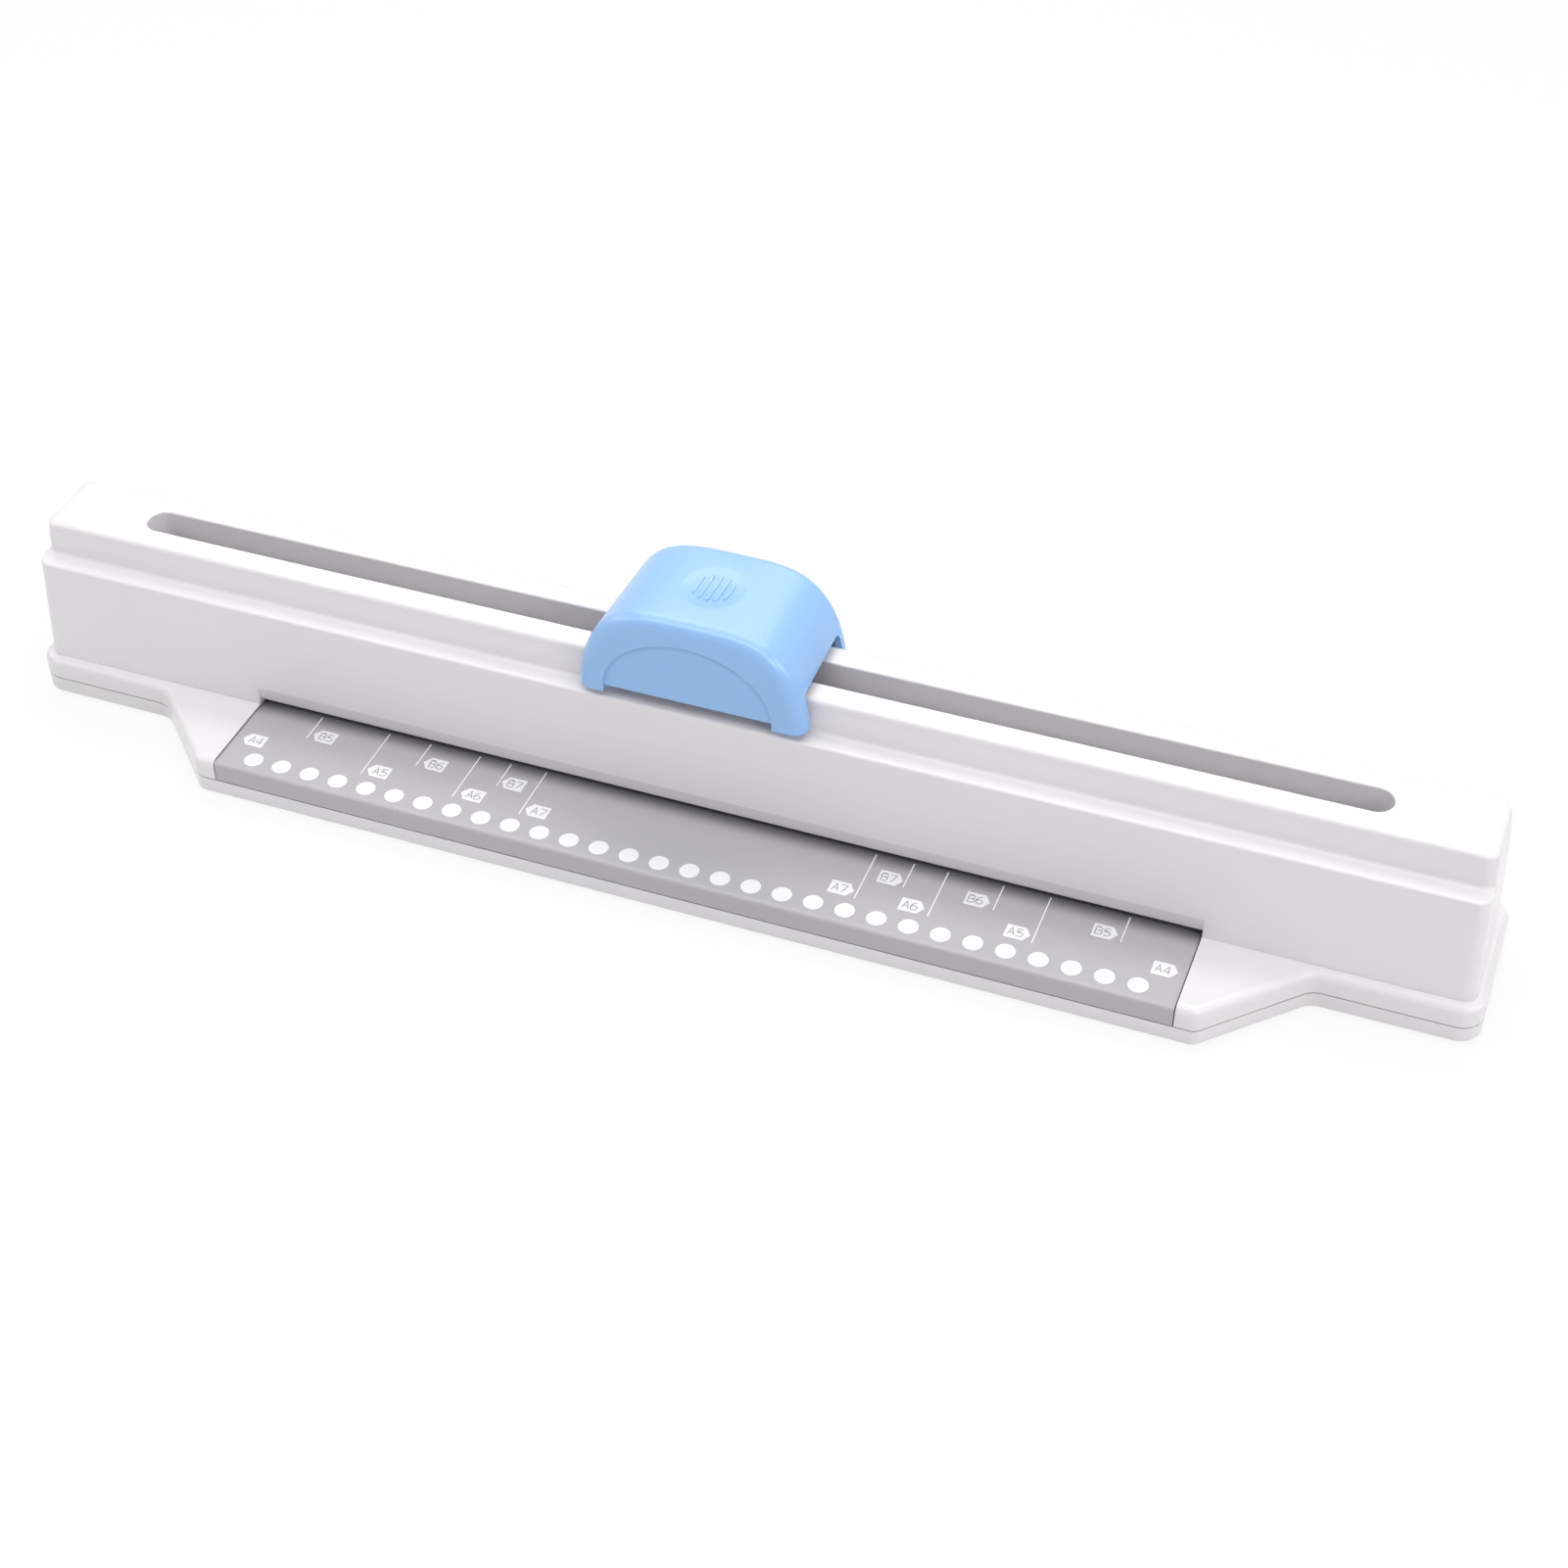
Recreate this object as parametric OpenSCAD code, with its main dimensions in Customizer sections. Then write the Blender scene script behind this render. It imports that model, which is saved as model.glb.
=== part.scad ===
// Multi-hole sliding paper punch: long housing, sliding press cap, row of punch pins,
// paper table and chip tray
// Frame: X along the body, Y towards the back, Z up, origin under the middle of the base

/* [Part to show] */
// which sub-part is drawn

/* [Whole body] */
// height of the paper table's face above the desk
table_z = 13.1; // [12.8:0.1:13.4]
// length of the base beyond the paper table at each end
base_past = 79; // [78:0.1:81]
// half depth of the base behind the paper table
base_hy = 24.15; // [23.85:0.05:24.45]
// distance of the housing's middle behind the origin
housing_y = 13.2; // [12.9:0.1:13.5]
// length of the paper table beyond the last hole at each end
table_past = 11.45; // [11.2:0.05:12]
// width of each wing where it leaves the flange
wing_back = 32.6; // [31:0.1:34]
// width of each wing at the front edge
wing_front = 6.05; // [5.5:0.05:7.5]
// front edge of the base
front_y = -37.35; // [-38:0.05:-36.8]

/* [Housing] */
// set-in of the housing from the ends of the base
foot_in = 3.1; // [2.8:0.1:4]
// half depth of the housing at its foot
foot_hy = 21.2; // [21:0.1:21.4]
// inward lean of the walls per unit of height
wall_draft = 0.05; // [0.04:0.005:0.055]
// height of the ledge above the desk
ledge_z = 48.1; // [48:0.1:48.2]
// half depth of the narrow upper body at the ledge
upper_hy = 13.4; // [13.2:0.1:13.6]
// height of the housing's top above the desk
top_z = 59.1; // [59:0.1:59.2]
// distance of the slider slot from the ends of the housing
slot_in = 32.5; // [31:0.1:32.7]
// half width of the slider slot
slot_hy = 4.88; // [4.8:0.02:5.2]
// wall thickness of the housing
housing_wall = 2.2; // [2:0.1:2.4]

/* [Slider] */
// position of the slider along the body
slider_x = -4.5; // [-165:0.5:165]
// half length of the cap at its feet
cap_hx = 35.1; // [34.5:0.1:37]
// half depth of the cap over its skirts
cap_hy = 20.8; // [20.4:0.1:21.4]
// height of the cap's crown above the desk
cap_top_z = 81.6; // [80:0.1:83]
// travel of the cap when it is pressed
press_travel = 2.7; // [2.4:0.1:2.8]
// wall thickness of the cap
cap_wall = 2.2; // [1.8:0.1:2.4]

/* [Punch row] */
// distance between neighbouring holes
pin_pitch = 9.5; // [9.2:0.1:9.6]
// radius of a punch pin
pin_r = 3; // [2.5:0.1:3]
// height of the gap the paper slides into at the pins
throat_gap = 1; // [0.9:0.1:1.2]
// height of the gap under the housing's lip
lip_gap = 2; // [1.8:0.1:2.2]

/* [Clearances] */
// gap between a moving piece and its neighbour
run_gap = 0.3; // [0.3:0.05:0.4]
// gap all round a pin or rod that slides in its hole
slide_fit = 0.05; // [0.03:0.01:0.08]
// gap between the halves of the base
seam_gap = 0.3; // [0.3:0.05:0.35]
// gap round a fixed screw, pin or insert
seat_gap = 0.05; // [0.02:0.01:0.08]

/* [Hidden] */
// overrun of every cut past the face it opens
over = 1;
// segments of a full circle
$fn = 48;
// segments of each rounded corner
corner_n = 8;
// steps of each rounded edge
edge_n = 5;

// number of punch pins
pin_count = 30;
// rubber foot height below the tray
foot_drop = 0.8;
pin_row_hx = pin_pitch * (pin_count - 1) / 2;
mouth_hx = pin_row_hx + table_past;
base_hx = mouth_hx + base_past;
wing_back_hx = mouth_hx + wing_back;
wing_front_hx = mouth_hx + wing_front;
foot_hx = base_hx - foot_in;
slot_hx = foot_hx - slot_in;
// outside rounding of the tray's lower edge
tray_edge_r = 1;
// inward lean of the tray's wall
tray_lean = 0.9;
// floor thickness of the tray
tray_floor = 1.6;
// wall thickness of the tray at its rim
tray_wall = 2.2;
// height of the seam between tray and base
seam_z = 6.2;
tray_top_z = seam_z - seam_gap / 2;
base_bottom_z = seam_z + seam_gap / 2;
tray_floor_z = foot_drop + tray_floor;

// height of the wings and flange over the paper table
wing_rise = 0.4;
base_top_z = table_z + wing_rise;
// rounding of the base's upper edge
base_edge_r = 2.6;
// wall thickness of the base
base_wall = 2.4;
// thickness of the base's deck
deck_t = 2.2;
deck_under_z = base_top_z - deck_t;
// thickness of the paper table and of the die plate
plate_t = 2;
plate_under_z = table_z - plate_t;
low_deck_under_z = plate_under_z - deck_t;
// rounding of the flange's corners
flange_r = 7;
// rounding of the wings' front corners
wing_r = 4;
// rounding where wing and flange meet
hollow_r = 7;
// smallest rounding left on an inset corner
least_r = 0.2;
flange_front_y = housing_y - base_hy;
flange_back_y = housing_y + base_hy;
base_corners = [
  [-wing_front_hx, front_y],
  [wing_front_hx, front_y],
  [wing_back_hx, flange_front_y],
  [base_hx, flange_front_y],
  [base_hx, flange_back_y],
  [-base_hx, flange_back_y],
  [-base_hx, flange_front_y],
  [-wing_back_hx, flange_front_y]
];
base_radii = [wing_r, wing_r, -hollow_r, flange_r, flange_r, flange_r, flange_r, -hollow_r];

// rounding of the housing's upright corners
housing_r = 4;
// rounding of the ledge's outer edge
ledge_edge_r = 1;
// hollow rounding where the upper wall meets the ledge
ledge_root_r = 1.4;
// rise of the ledge from its edge to the upper wall
ledge_rise = 0.1;
// rounding of the top edge along the body
top_edge_r = 1.4;
// rounding of the top edge across the ends
top_end_r = 3;
housing_h = top_z - base_top_z;
ledge_h = ledge_z - base_top_z;
upper_h = top_z - ledge_z;
ledge_hy = foot_hy - wall_draft * ledge_h;
top_hy = upper_hy - wall_draft * upper_h;
// thickness of the top deck that carries the slot
top_deck_t = 2.2;
deck_low_z = top_z - top_deck_t;
cavity_top_z = ledge_z - housing_wall;
cavity_hy = ledge_hy - housing_wall;
cavity_hx = foot_hx - wall_draft * housing_h - housing_wall;
upper_cavity_hy = top_hy - housing_wall;
// wall thickness of the slot's lining
slot_wall = 1.4;
// depth of the slot's lining below the housing's top
slot_depth = 8.7;
slot_low_z = top_z - slot_depth;
// rounding of the slot's rim
slot_rim_r = 0.6;
// height of the slanted band over the lip
lip_band_h = 4.6;
// setback of the lip's lower edge
lip_band_in = 1.1;
lip_z = table_z + lip_gap;
// rib thickness inside the housing
rib_t = 1.4;
// rib depth inside the housing
rib_in = 4;
// distance between inner ribs
rib_pitch = 40;
// number of ribs each side of the middle
rib_half_count = 4;
// height of the inner ribs' tops
rib_top_z = 34;
rib_low_z = lip_z + lip_band_h;
// radius of a screw post inside the housing
post_r = 4;
// distance of the end posts from the housing's ends
post_in = 12.1;
post_x = foot_hx - post_in;
// distance of the end posts from the housing's long walls
post_side = 6.27;
post_y = cavity_hy - post_side;
// distance of the rear posts from the middle
rear_post_x = 75;
rear_post_y = housing_y + cavity_hy - post_r + rib_t;
// height of the rear posts
rear_post_top_z = 32;

// shank radius of the housing screws
screw_r = 1.5;
// head radius of the housing screws
screw_head_r = 3;
// head height of the screws
screw_head_h = 1.8;
// half width of the cross recess as a share of the shank's radius
recess_share = 0.25;
// depth of the screws in their posts
screw_bite = 9;
// radius of a boss under the deck
boss_r = 4.5;
// height of a boss under the deck
boss_h = 3.2;
screw_face_z = deck_under_z - boss_h;

// half width of the opening over the chip tray
chip_hy = 4;
// length of the opening over the chip tray beyond the last hole
chip_past = 3.75;
chip_hx = pin_row_hx + chip_past;
// half depth of the punch unit's plates
unit_hy = 8;
// length of the punch unit's plates beyond the paper table
unit_past = 8.8;
unit_hx = mouth_hx + unit_past;
unit_front_y = housing_y - unit_hy;
unit_back_y = housing_y + unit_hy;
// gap round the punch unit in its recess
unit_gap = 0.3;
// distance from the hole row to the paper stop
stop_y = 6.5;
// thickness of the guide channel's floor
channel_floor_t = 2;
// thickness of the guide channel's web and roof
channel_t = 1.5;
throat_top_z = table_z + throat_gap;
channel_floor_z = throat_top_z + channel_floor_t;
// height between floor and roof of the guide channel
channel_h = 7.7;
channel_roof_z = channel_floor_z + channel_h;
channel_top_z = channel_roof_z + channel_t;
// distance of the punch unit's screws from its ends
unit_screw_in = 4;
unit_screw_x = unit_hx - unit_screw_in;
// distance of the punch unit's screws from the hole row
unit_screw_y = 4.7;

// height of a punch pin's tip over the throat's roof
pin_tip_rise = 0.2;
pin_tip_z = throat_top_z + pin_tip_rise;
// space left for the return spring over the guide channel
pin_spring_h = 7;
pin_neck_z = channel_top_z + pin_spring_h;
// head height of a punch pin
pin_head_h = 1.5;
// head radius of a punch pin
pin_head_r = 3.5;
pin_top_z = pin_neck_z + pin_head_h;
// height of a punch pin's retaining ring
pin_ring_h = 0.8;
// radius of a punch pin's retaining ring
pin_ring_r = 4;
// depth of the notch across a punch pin's tip
pin_notch = 0.9;
// wire of the pin springs
pin_wire = 0.5;
// gap between a pin and its spring
spring_gap = 0.15;

// radius of the slide rods
rod_r = 2.5;
// gap between the carriage and the housing's walls
carriage_gap = 2.27;
carriage_hy = cavity_hy - carriage_gap;
// distance of the slide rods from the carriage's sides
rod_in = 3.5;
rod_y = carriage_hy - rod_in;
// height of the slide rods above the desk
rod_z = 39;
// distance of the end brackets from the housing's ends
bracket_in = 24.6;
bracket_x = foot_hx - bracket_in;
// thickness of the end brackets
bracket_t = 3;
// length of the slide rods past the brackets
rod_past = 1.5;
rod_hx = bracket_x + bracket_t + rod_past;
// gap between the end brackets and the housing's walls
bracket_gap = 1.87;
bracket_hy = cavity_hy - bracket_gap;
// height of the end brackets over the rods
bracket_rise = 4.4;
bracket_top_z = rod_z + bracket_rise;
// length of the end brackets' feet
bracket_foot = 15;
// thickness of the end brackets' feet
bracket_foot_t = 2;
// distance of the bracket screws from the brackets' faces
bracket_screw_in = 6.5;
// distance of the bracket screws from the brackets' sides
bracket_screw_side = 6.4;
bracket_screw_y = bracket_hy - bracket_screw_side;
// length of the bumper rings
bumper_l = 1.5;
// outside radius of the bumper rings
bumper_r = 4.4;

// half height of the carriage
carriage_half_h = 4;
carriage_z = rod_z - carriage_half_h;
carriage_top_z = rod_z + carriage_half_h;
// gap round the presser in the carriage
window_gap = 0.4;
// depth of the carriage's waist cuts
waist_in = 5;
// half length of the carriage's waist cuts
waist_hx = 20;
// half length of the presser's foot
presser_hx = 23.3;
// half width of the presser's foot
presser_hy = 3.6;
presser_z = pin_top_z + run_gap;
// underside of the presser's flange
presser_flange_z = 47.6;
// thickness of the presser's flange
presser_flange_t = 2.4;
// distance of the guide posts from the presser's ends
guide_past = 5.1;
guide_x = presser_hx + guide_past;
// length of the presser's flange past the guide posts
flange_past = 4;
presser_flange_hx = guide_x + flange_past;
// length of the carriage past the guide posts
carriage_past = 4.6;
carriage_hx = guide_x + carriage_past;
// half width of the presser's flange
presser_flange_hy = 7.6;
// half length of the presser's stem
stem_hx = 21;
// half width of the presser's stem
stem_hy = 3.8;
// height of the presser's stem
stem_top_z = 74;
stem_low_z = presser_flange_z + presser_flange_t;
// rounding of the presser's lower ends
presser_r = 1.2;
// radius of the guide posts
guide_r = 2;
// head radius of the guide posts
guide_head_r = 3;
// head height of the guide posts
guide_head_h = 1.6;
// depth of the recess over the guide posts' heads
guide_recess = 5;
guide_recess_z = carriage_z + guide_recess;
guide_head_z = guide_recess_z - run_gap;
// bite of the guide posts in the presser's flange
guide_bite = 1.8;
// wire of the handle springs
handle_wire = 0.9;
// radius of the cross pins in the cap
cross_r = 1.5;
// distance of the cross pins from the slider's middle
cross_x = 15;
// height of the cross pins
cross_z = 69;
// half length of the cross pins
cross_hy = 6;

cap_foot_z = ledge_z + ledge_rise + press_travel + run_gap;
// height where the cap's sides start to curve in
cap_spring_z = 51.8;
// power of the cap's shoulder curve beside its length
cap_side_power = 3.9;
// power of the cap's shoulder curve beside its height
cap_crown_power = 1.7;
// bunching of the curve's points towards the crown
cap_bunch = 1.6;
// points along half the cap's shoulder curve
cap_n = 14;
// fall of the crown from the cap's front to its back
cap_fall = 1.5;
// loss of half length from the cap's front to its back
cap_taper = 1;
// rounding between the cap's faces and its crown
cap_edge_r = 4;
// steps of the rounding between the cap's faces and its crown
cap_edge_n = 5;
cap_end_z = top_z + press_travel + run_gap;
// half width of the notches that straddle the housing
cap_notch_hy = 15.3;
// rounding of those notches' corners
cap_notch_r = 2.5;
// depth of the arched panel in the cap's faces
panel_in = 0.8;
// half width of the arched panel
panel_hx = 26;
// height of the arched panel's crown
panel_top_z = 73.4;
// lower edge of the arched panel
panel_low_z = 53.2;
// offset of the arched panel from the cap's middle
panel_x = -0.6;
// radius of the thumb dish
dish_r = 10.5;
// depth of the thumb dish
dish_depth = 0.8;
// offset of the thumb dish from the cap's middle
dish_x = 0.4;
dish_top_z = cap_top_z - cap_fall / 2;
// slope of the crown from the cap's front to its back
crown_tilt = atan(cap_fall / (2 * cap_hy));
// radius of the ribbed patch in the thumb dish
grip_r = 6.2;
// width of a thumb rib
grip_t = 1;
// distance between thumb ribs
grip_pitch = 2.5;
// thumb ribs each side of the middle one
grip_half = 2;
// height of the thumb ribs
grip_h = 0.45;
// thickness of the cheeks that grip the stem
cheek_t = 2;
// height of the cheeks' lower edges
cheek_z = 63.5;
// thickness of the ribs that tie the cheeks to the skirts
tie_t = 1.6;
// gap between those ribs and the stem
tie_gap = 0.2;
// lower edge of those ribs
tie_z = 66.5;
// distance between the ribs that bear on the stem
bear_pitch = 10;
tie_x = stem_hx + tie_gap + tie_t / 2;
cheek_hx = tie_x + tie_t / 2;

// radius of the rubber feet
pad_r = 6;
// depth of the rubber feet in the tray
pad_seat = 0.6;
// distance of the front feet from the paper table's ends
pad_in_x = 9.2;
// distance of the front feet from the front edge
pad_in_y = 9.35;
// distance of the end feet from the base's ends
end_pad_in_x = 18.2;
// distance of the end feet from the flange's long edges
end_pad_in_y = 11.1;
pad_places = [for (s = [-1, 1]) each [
  [s * (mouth_hx - pad_in_x), front_y + pad_in_y],
  [s * (base_hx - end_pad_in_x), flange_front_y + end_pad_in_y],
  [s * (base_hx - end_pad_in_x), flange_back_y - end_pad_in_y]
]];

// thickness of the paper table's apron
apron_t = 1.8;
// rounding of the paper table's front bend
bend_r = 1.4;
// gap between the paper table and its neighbours
table_gap = 0.3;
table_back_y = unit_front_y - unit_gap - table_gap;
// height of the apron's foot above the seam
apron_lift = 0.05;
// places of the paper table's screws
// distance of the paper table's end screws from its ends
table_screw_in_x = 39.2;
// distance of the paper table's screws from the front edge
table_screw_in_y = 17.35;
table_screw_places = [for (s = [-1:1]) [s * (mouth_hx - table_screw_in_x), front_y + table_screw_in_y]];
// shank radius of the paper table's screws
table_screw_r = 1.2;
// bite of the paper table's screws
table_screw_bite = 1.2;
// thickness of the base's rail behind the apron
rail_t = 2;
// rim of the low deck round the plates
rim_t = 3;

// thickness of the chip walls in the tray
chip_wall_t = 1.4;
// half width between the chip walls
chip_wall_hy = 6;
// length between the chip walls beyond the opening over them
chip_wall_past = 3.5;
chip_wall_hx = chip_hx + chip_wall_past;
// gap between the chip walls and the base's deck
chip_wall_gap = 0.5;
chip_wall_top_z = low_deck_under_z - chip_wall_gap;
// distance between the tray's floor ribs
tray_rib_pitch = 46;
// number of the tray's floor ribs each side of the middle
tray_rib_half = 3;
// thickness of the tabs that locate the tray in the base
tab_t = 1.2;
// width of those tabs
tab_w = 12;
// rise of those tabs over the seam
tab_rise = 3.4;
// distance of the end tabs from the housing's middle line
tab_y = 11;
// distance of the rear tabs from the middle
tab_x = 160;
tab_out = base_wall + run_gap;

// colours of the materials
white_abs = [0.92, 0.91, 0.92];
grey_abs = [0.68, 0.68, 0.71];
blue_abs = [0.55, 0.75, 0.95];
dark_nylon = [0.25, 0.26, 0.28];
plain_steel = [0.72, 0.73, 0.75];
black_rubber = [0.12, 0.12, 0.13];

// helpers
function unit(v) = v / norm(v);
function turn_short(a) = a > 180 ? a - 360 : a < -180 ? a + 360 : a;
function corner_points(a, p, b, r) =
  let (
    u = unit(a - p),
    v = unit(b - p),
    half = acos(u * v) / 2,
    c = p + unit(u + v) * r / sin(half),
    s = p + u * r / tan(half) - c,
    e = p + v * r / tan(half) - c,
    a0 = atan2(s[1], s[0]),
    sweep = turn_short(atan2(e[1], e[0]) - a0)
  )
  [for (k = [0:corner_n]) c + r * [cos(a0 + sweep * k / corner_n), sin(a0 + sweep * k / corner_n)]];
function round_outline(pts, radii) =
  let (n = len(pts))
  [for (i = [0:n - 1]) each corner_points(pts[(i + n - 1) % n], pts[i], pts[(i + 1) % n], abs(radii[i]))];
function left_of(a, b) = let (d = unit(b - a)) [-d[1], d[0]];
function inset_corner(a, p, b, d) =
  let (m = left_of(a, p), n = left_of(p, b))
  p + (m + n) * d / (1 + m * n);
function inset_outline(pts, d) =
  let (n = len(pts))
  [for (i = [0:n - 1]) inset_corner(pts[(i + n - 1) % n], pts[i], pts[(i + 1) % n], d)];
function inset_radii(radii, d) = [for (r = radii) r < 0 ? r - d : max(r - d, least_r)];
function base_outline(d) = round_outline(inset_outline(base_corners, d), inset_radii(base_radii, d));
function box_outline(hx, hy, r) = round_outline([[-hx, -hy], [hx, -hy], [hx, hy], [-hx, hy]], [r, r, r, r]);
function cap_curve(a, b, foot) = concat(
  [[-a, foot], [a, foot]],
  [for (k = [-cap_n:cap_n])
    let (t = 90 * pow(abs(k) / cap_n, cap_bunch))
    [-sign(k) * a * pow(sin(t), 2 / cap_side_power), cap_spring_z + b * pow(cos(t), 2 / cap_crown_power)]]
);

// solid through a stack of outlines with equal point counts, its ends fanned from their middles
module loft(levels, heights, middle) {
  n = len(levels[0]);
  m = len(levels);
  rings = [for (k = [0:m - 1]) for (p = levels[k]) [p[0], p[1], heights[k]]];
  ends = [for (z = [heights[0], heights[m - 1]]) [middle[0], middle[1], z]];
  lower = [for (i = [0:n - 1]) [n * m, i, (i + 1) % n]];
  upper = [for (i = [0:n - 1]) [n * m + 1, n * (m - 1) + (i + 1) % n, n * (m - 1) + i]];
  sides = [for (k = [0:m - 2]) for (i = [0:n - 1])
    let (a = k * n + i, b = k * n + (i + 1) % n)
    each [[a, a + n, b + n], [a, b + n, b]]];
  polyhedron(points = concat(rings, ends), faces = concat(lower, sides, upper), convexity = 8);
}

// box from its low corner to its high corner
module block(low, high) {
  translate(low)
    cube(high - low);
}

// upright cylinder between two heights
module post(r, z0, z1) {
  translate([0, 0, z0])
    cylinder(r = r, h = z1 - z0);
}

// cylinder along X between two places
module bar_x(r, x0, x1) {
  translate([x0, 0, 0])
    rotate([0, 90, 0])
      cylinder(r = r, h = x1 - x0);
}

// children on both sides of the middle plane
module both_ends() {
  for (s = [0, 1])
    mirror([s, 0, 0])
      children();
}

// children in front of and behind the housing's middle line
module both_sides(y) {
  for (s = [-1, 1])
    translate([0, housing_y + s * y, 0])
      children();
}

module screw(r, head_r, face_z, tip_z, up) {
  head_z = up ? face_z - screw_head_h : face_z;
  recess_half = r * recess_share;
  post(r, min(face_z, tip_z), max(face_z, tip_z));
  difference() {
    post(head_r, head_z, head_z + screw_head_h);
    for (a = [0, 90])
      rotate([0, 0, a])
        translate([-head_r / 2, -recess_half, up ? head_z - over : face_z + screw_head_h / 2])
          cube([head_r, 2 * recess_half, screw_head_h / 2 + over]);
  }
}

// long housing with ledges, slot and inner ribs
edge_steps = [for (k = [0:edge_n]) 90 * k / edge_n];
function housing_hx(z) = foot_hx - wall_draft * (z - base_top_z);
function upper_half(z) = upper_hy - wall_draft * (z - ledge_z);
// share of the end rounding that stays under the long edges' rounding
end_share = 0.134;
end_drop = (top_end_r - top_edge_r) * end_share;
function housing_row(z, hy) = [z, housing_hx(z), hy];
housing_rows = concat(
  [housing_row(base_top_z, foot_hy)],
  [for (a = edge_steps)
    housing_row(ledge_z - ledge_edge_r * (1 - sin(a)), ledge_hy - ledge_edge_r * (1 - cos(a)))],
  [for (a = edge_steps)
    housing_row(ledge_z + ledge_rise + ledge_root_r * (1 - cos(a)), upper_hy + ledge_root_r * (1 - sin(a)))],
  [housing_row(top_z - top_end_r, upper_half(top_z))],
  [for (a = edge_steps)
    [top_z - top_edge_r * (1 - sin(a)),
     housing_hx(top_z) - end_drop - top_end_r * (1 - cos(a)),
     upper_half(top_z) - top_edge_r * (1 - cos(a))]]
);
module housing_shape() {
  translate([0, housing_y, 0])
    loft(
      [for (row = housing_rows) box_outline(row[1], row[2], housing_r)],
      [for (row = housing_rows) row[0]],
      [0, 0]
    );
}
module slot_shape(wall, low, high) {
  run = slot_hx - slot_hy;
  r = slot_hy + wall;
  both_ends()
    translate([run, housing_y, 0])
      post(r, low, high);
  block([-run, housing_y - r, low], [run, housing_y + r, high]);
}
module slot_rim() {
  run = slot_hx - slot_hy;
  flare = concat(
    [[0, top_z + over], [0, top_z - slot_rim_r]],
    [for (a = edge_steps) [slot_hy + slot_rim_r * (1 - cos(a)), top_z - slot_rim_r * (1 - sin(a))]],
    [[slot_hy + slot_rim_r, top_z + over]]
  );
  both_ends()
    translate([run, housing_y, 0])
      rotate_extrude()
        polygon(flare);
  for (s = [0, 1])
    translate([-run, housing_y, 0])
      mirror([0, s, 0])
        rotate([90, 0, 90])
          linear_extrude(2 * run)
            polygon(flare);
}
module top_housing() {
  color(white_abs) {
    difference() {
      housing_shape();
      block(
        [-cavity_hx, housing_y - cavity_hy, base_top_z - over],
        [cavity_hx, housing_y + cavity_hy, cavity_top_z]
      );
      difference() {
        block(
          [-cavity_hx, housing_y - upper_cavity_hy, base_top_z],
          [cavity_hx, housing_y + upper_cavity_hy, deck_low_z]
        );
        slot_shape(slot_wall, slot_low_z, top_z);
      }
      slot_shape(0, slot_low_z - over, top_z + over);
      slot_rim();
      block([-mouth_hx, housing_y - base_hy, base_top_z - over], [mouth_hx, housing_y, lip_z]);
      translate([-mouth_hx, 0, 0])
        rotate([90, 0, 90])
          linear_extrude(2 * mouth_hx)
            polygon([
              [housing_y - base_hy, lip_z - over],
              [housing_y - foot_hy + lip_band_in, lip_z - over],
              [housing_y - foot_hy + lip_band_in, lip_z],
              [housing_y - foot_hy + wall_draft * (lip_gap + lip_band_h), lip_z + lip_band_h],
              [housing_y - base_hy, lip_z + lip_band_h]
            ]);
    }
    both_ends()
      both_sides(post_y)
        translate([post_x, 0, 0])
          difference() {
            post(post_r, base_top_z, cavity_top_z + over);
            post(screw_r + seat_gap, base_top_z - over, base_top_z + screw_bite + over);
          }
    both_ends()
      translate([rear_post_x, rear_post_y, 0])
        difference() {
          post(post_r, base_top_z, rear_post_top_z);
          post(screw_r + seat_gap, base_top_z - over, base_top_z + screw_bite + over);
        }
    for (k = [-rib_half_count:rib_half_count])
      for (s = [0, 1])
        translate([k * rib_pitch - rib_t / 2, housing_y, 0])
          mirror([0, s, 0])
            block([0, cavity_hy - rib_in, rib_low_z], [rib_t, cavity_hy + housing_wall / 2, rib_top_z]);
  }
}

// upper half of the base with flange, wings and deck
base_rows = concat(
  [[base_bottom_z, 0]],
  [for (a = edge_steps) [base_top_z - base_edge_r * (1 - sin(a)), base_edge_r * (1 - cos(a))]]
);
module deck_hole(r, z0) {
  post(r, z0 - over, base_top_z + over);
}
module base_hollow() {
  difference() {
    translate([0, 0, base_bottom_z - over])
      linear_extrude(deck_under_z - base_bottom_z + over)
        polygon(base_outline(base_wall));
    block(
      [-mouth_hx - rim_t, front_y, low_deck_under_z],
      [mouth_hx + rim_t, unit_back_y + rim_t, base_top_z]
    );
    block(
      [-unit_hx - rim_t, unit_front_y - rim_t, low_deck_under_z],
      [unit_hx + rim_t, unit_back_y + rim_t, base_top_z]
    );
    block([-mouth_hx, front_y, 0], [mouth_hx, front_y + apron_t + table_gap + rail_t, base_top_z]);
    both_ends() {
      both_sides(post_y)
        translate([post_x, 0, 0])
          post(boss_r, screw_face_z, base_top_z);
      translate([rear_post_x, rear_post_y, 0])
        post(boss_r, screw_face_z, base_top_z);
      both_sides(bracket_screw_y)
        translate([bracket_x - bracket_screw_in, 0, 0])
          post(boss_r, screw_face_z, base_top_z);
    }
  }
}
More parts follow.
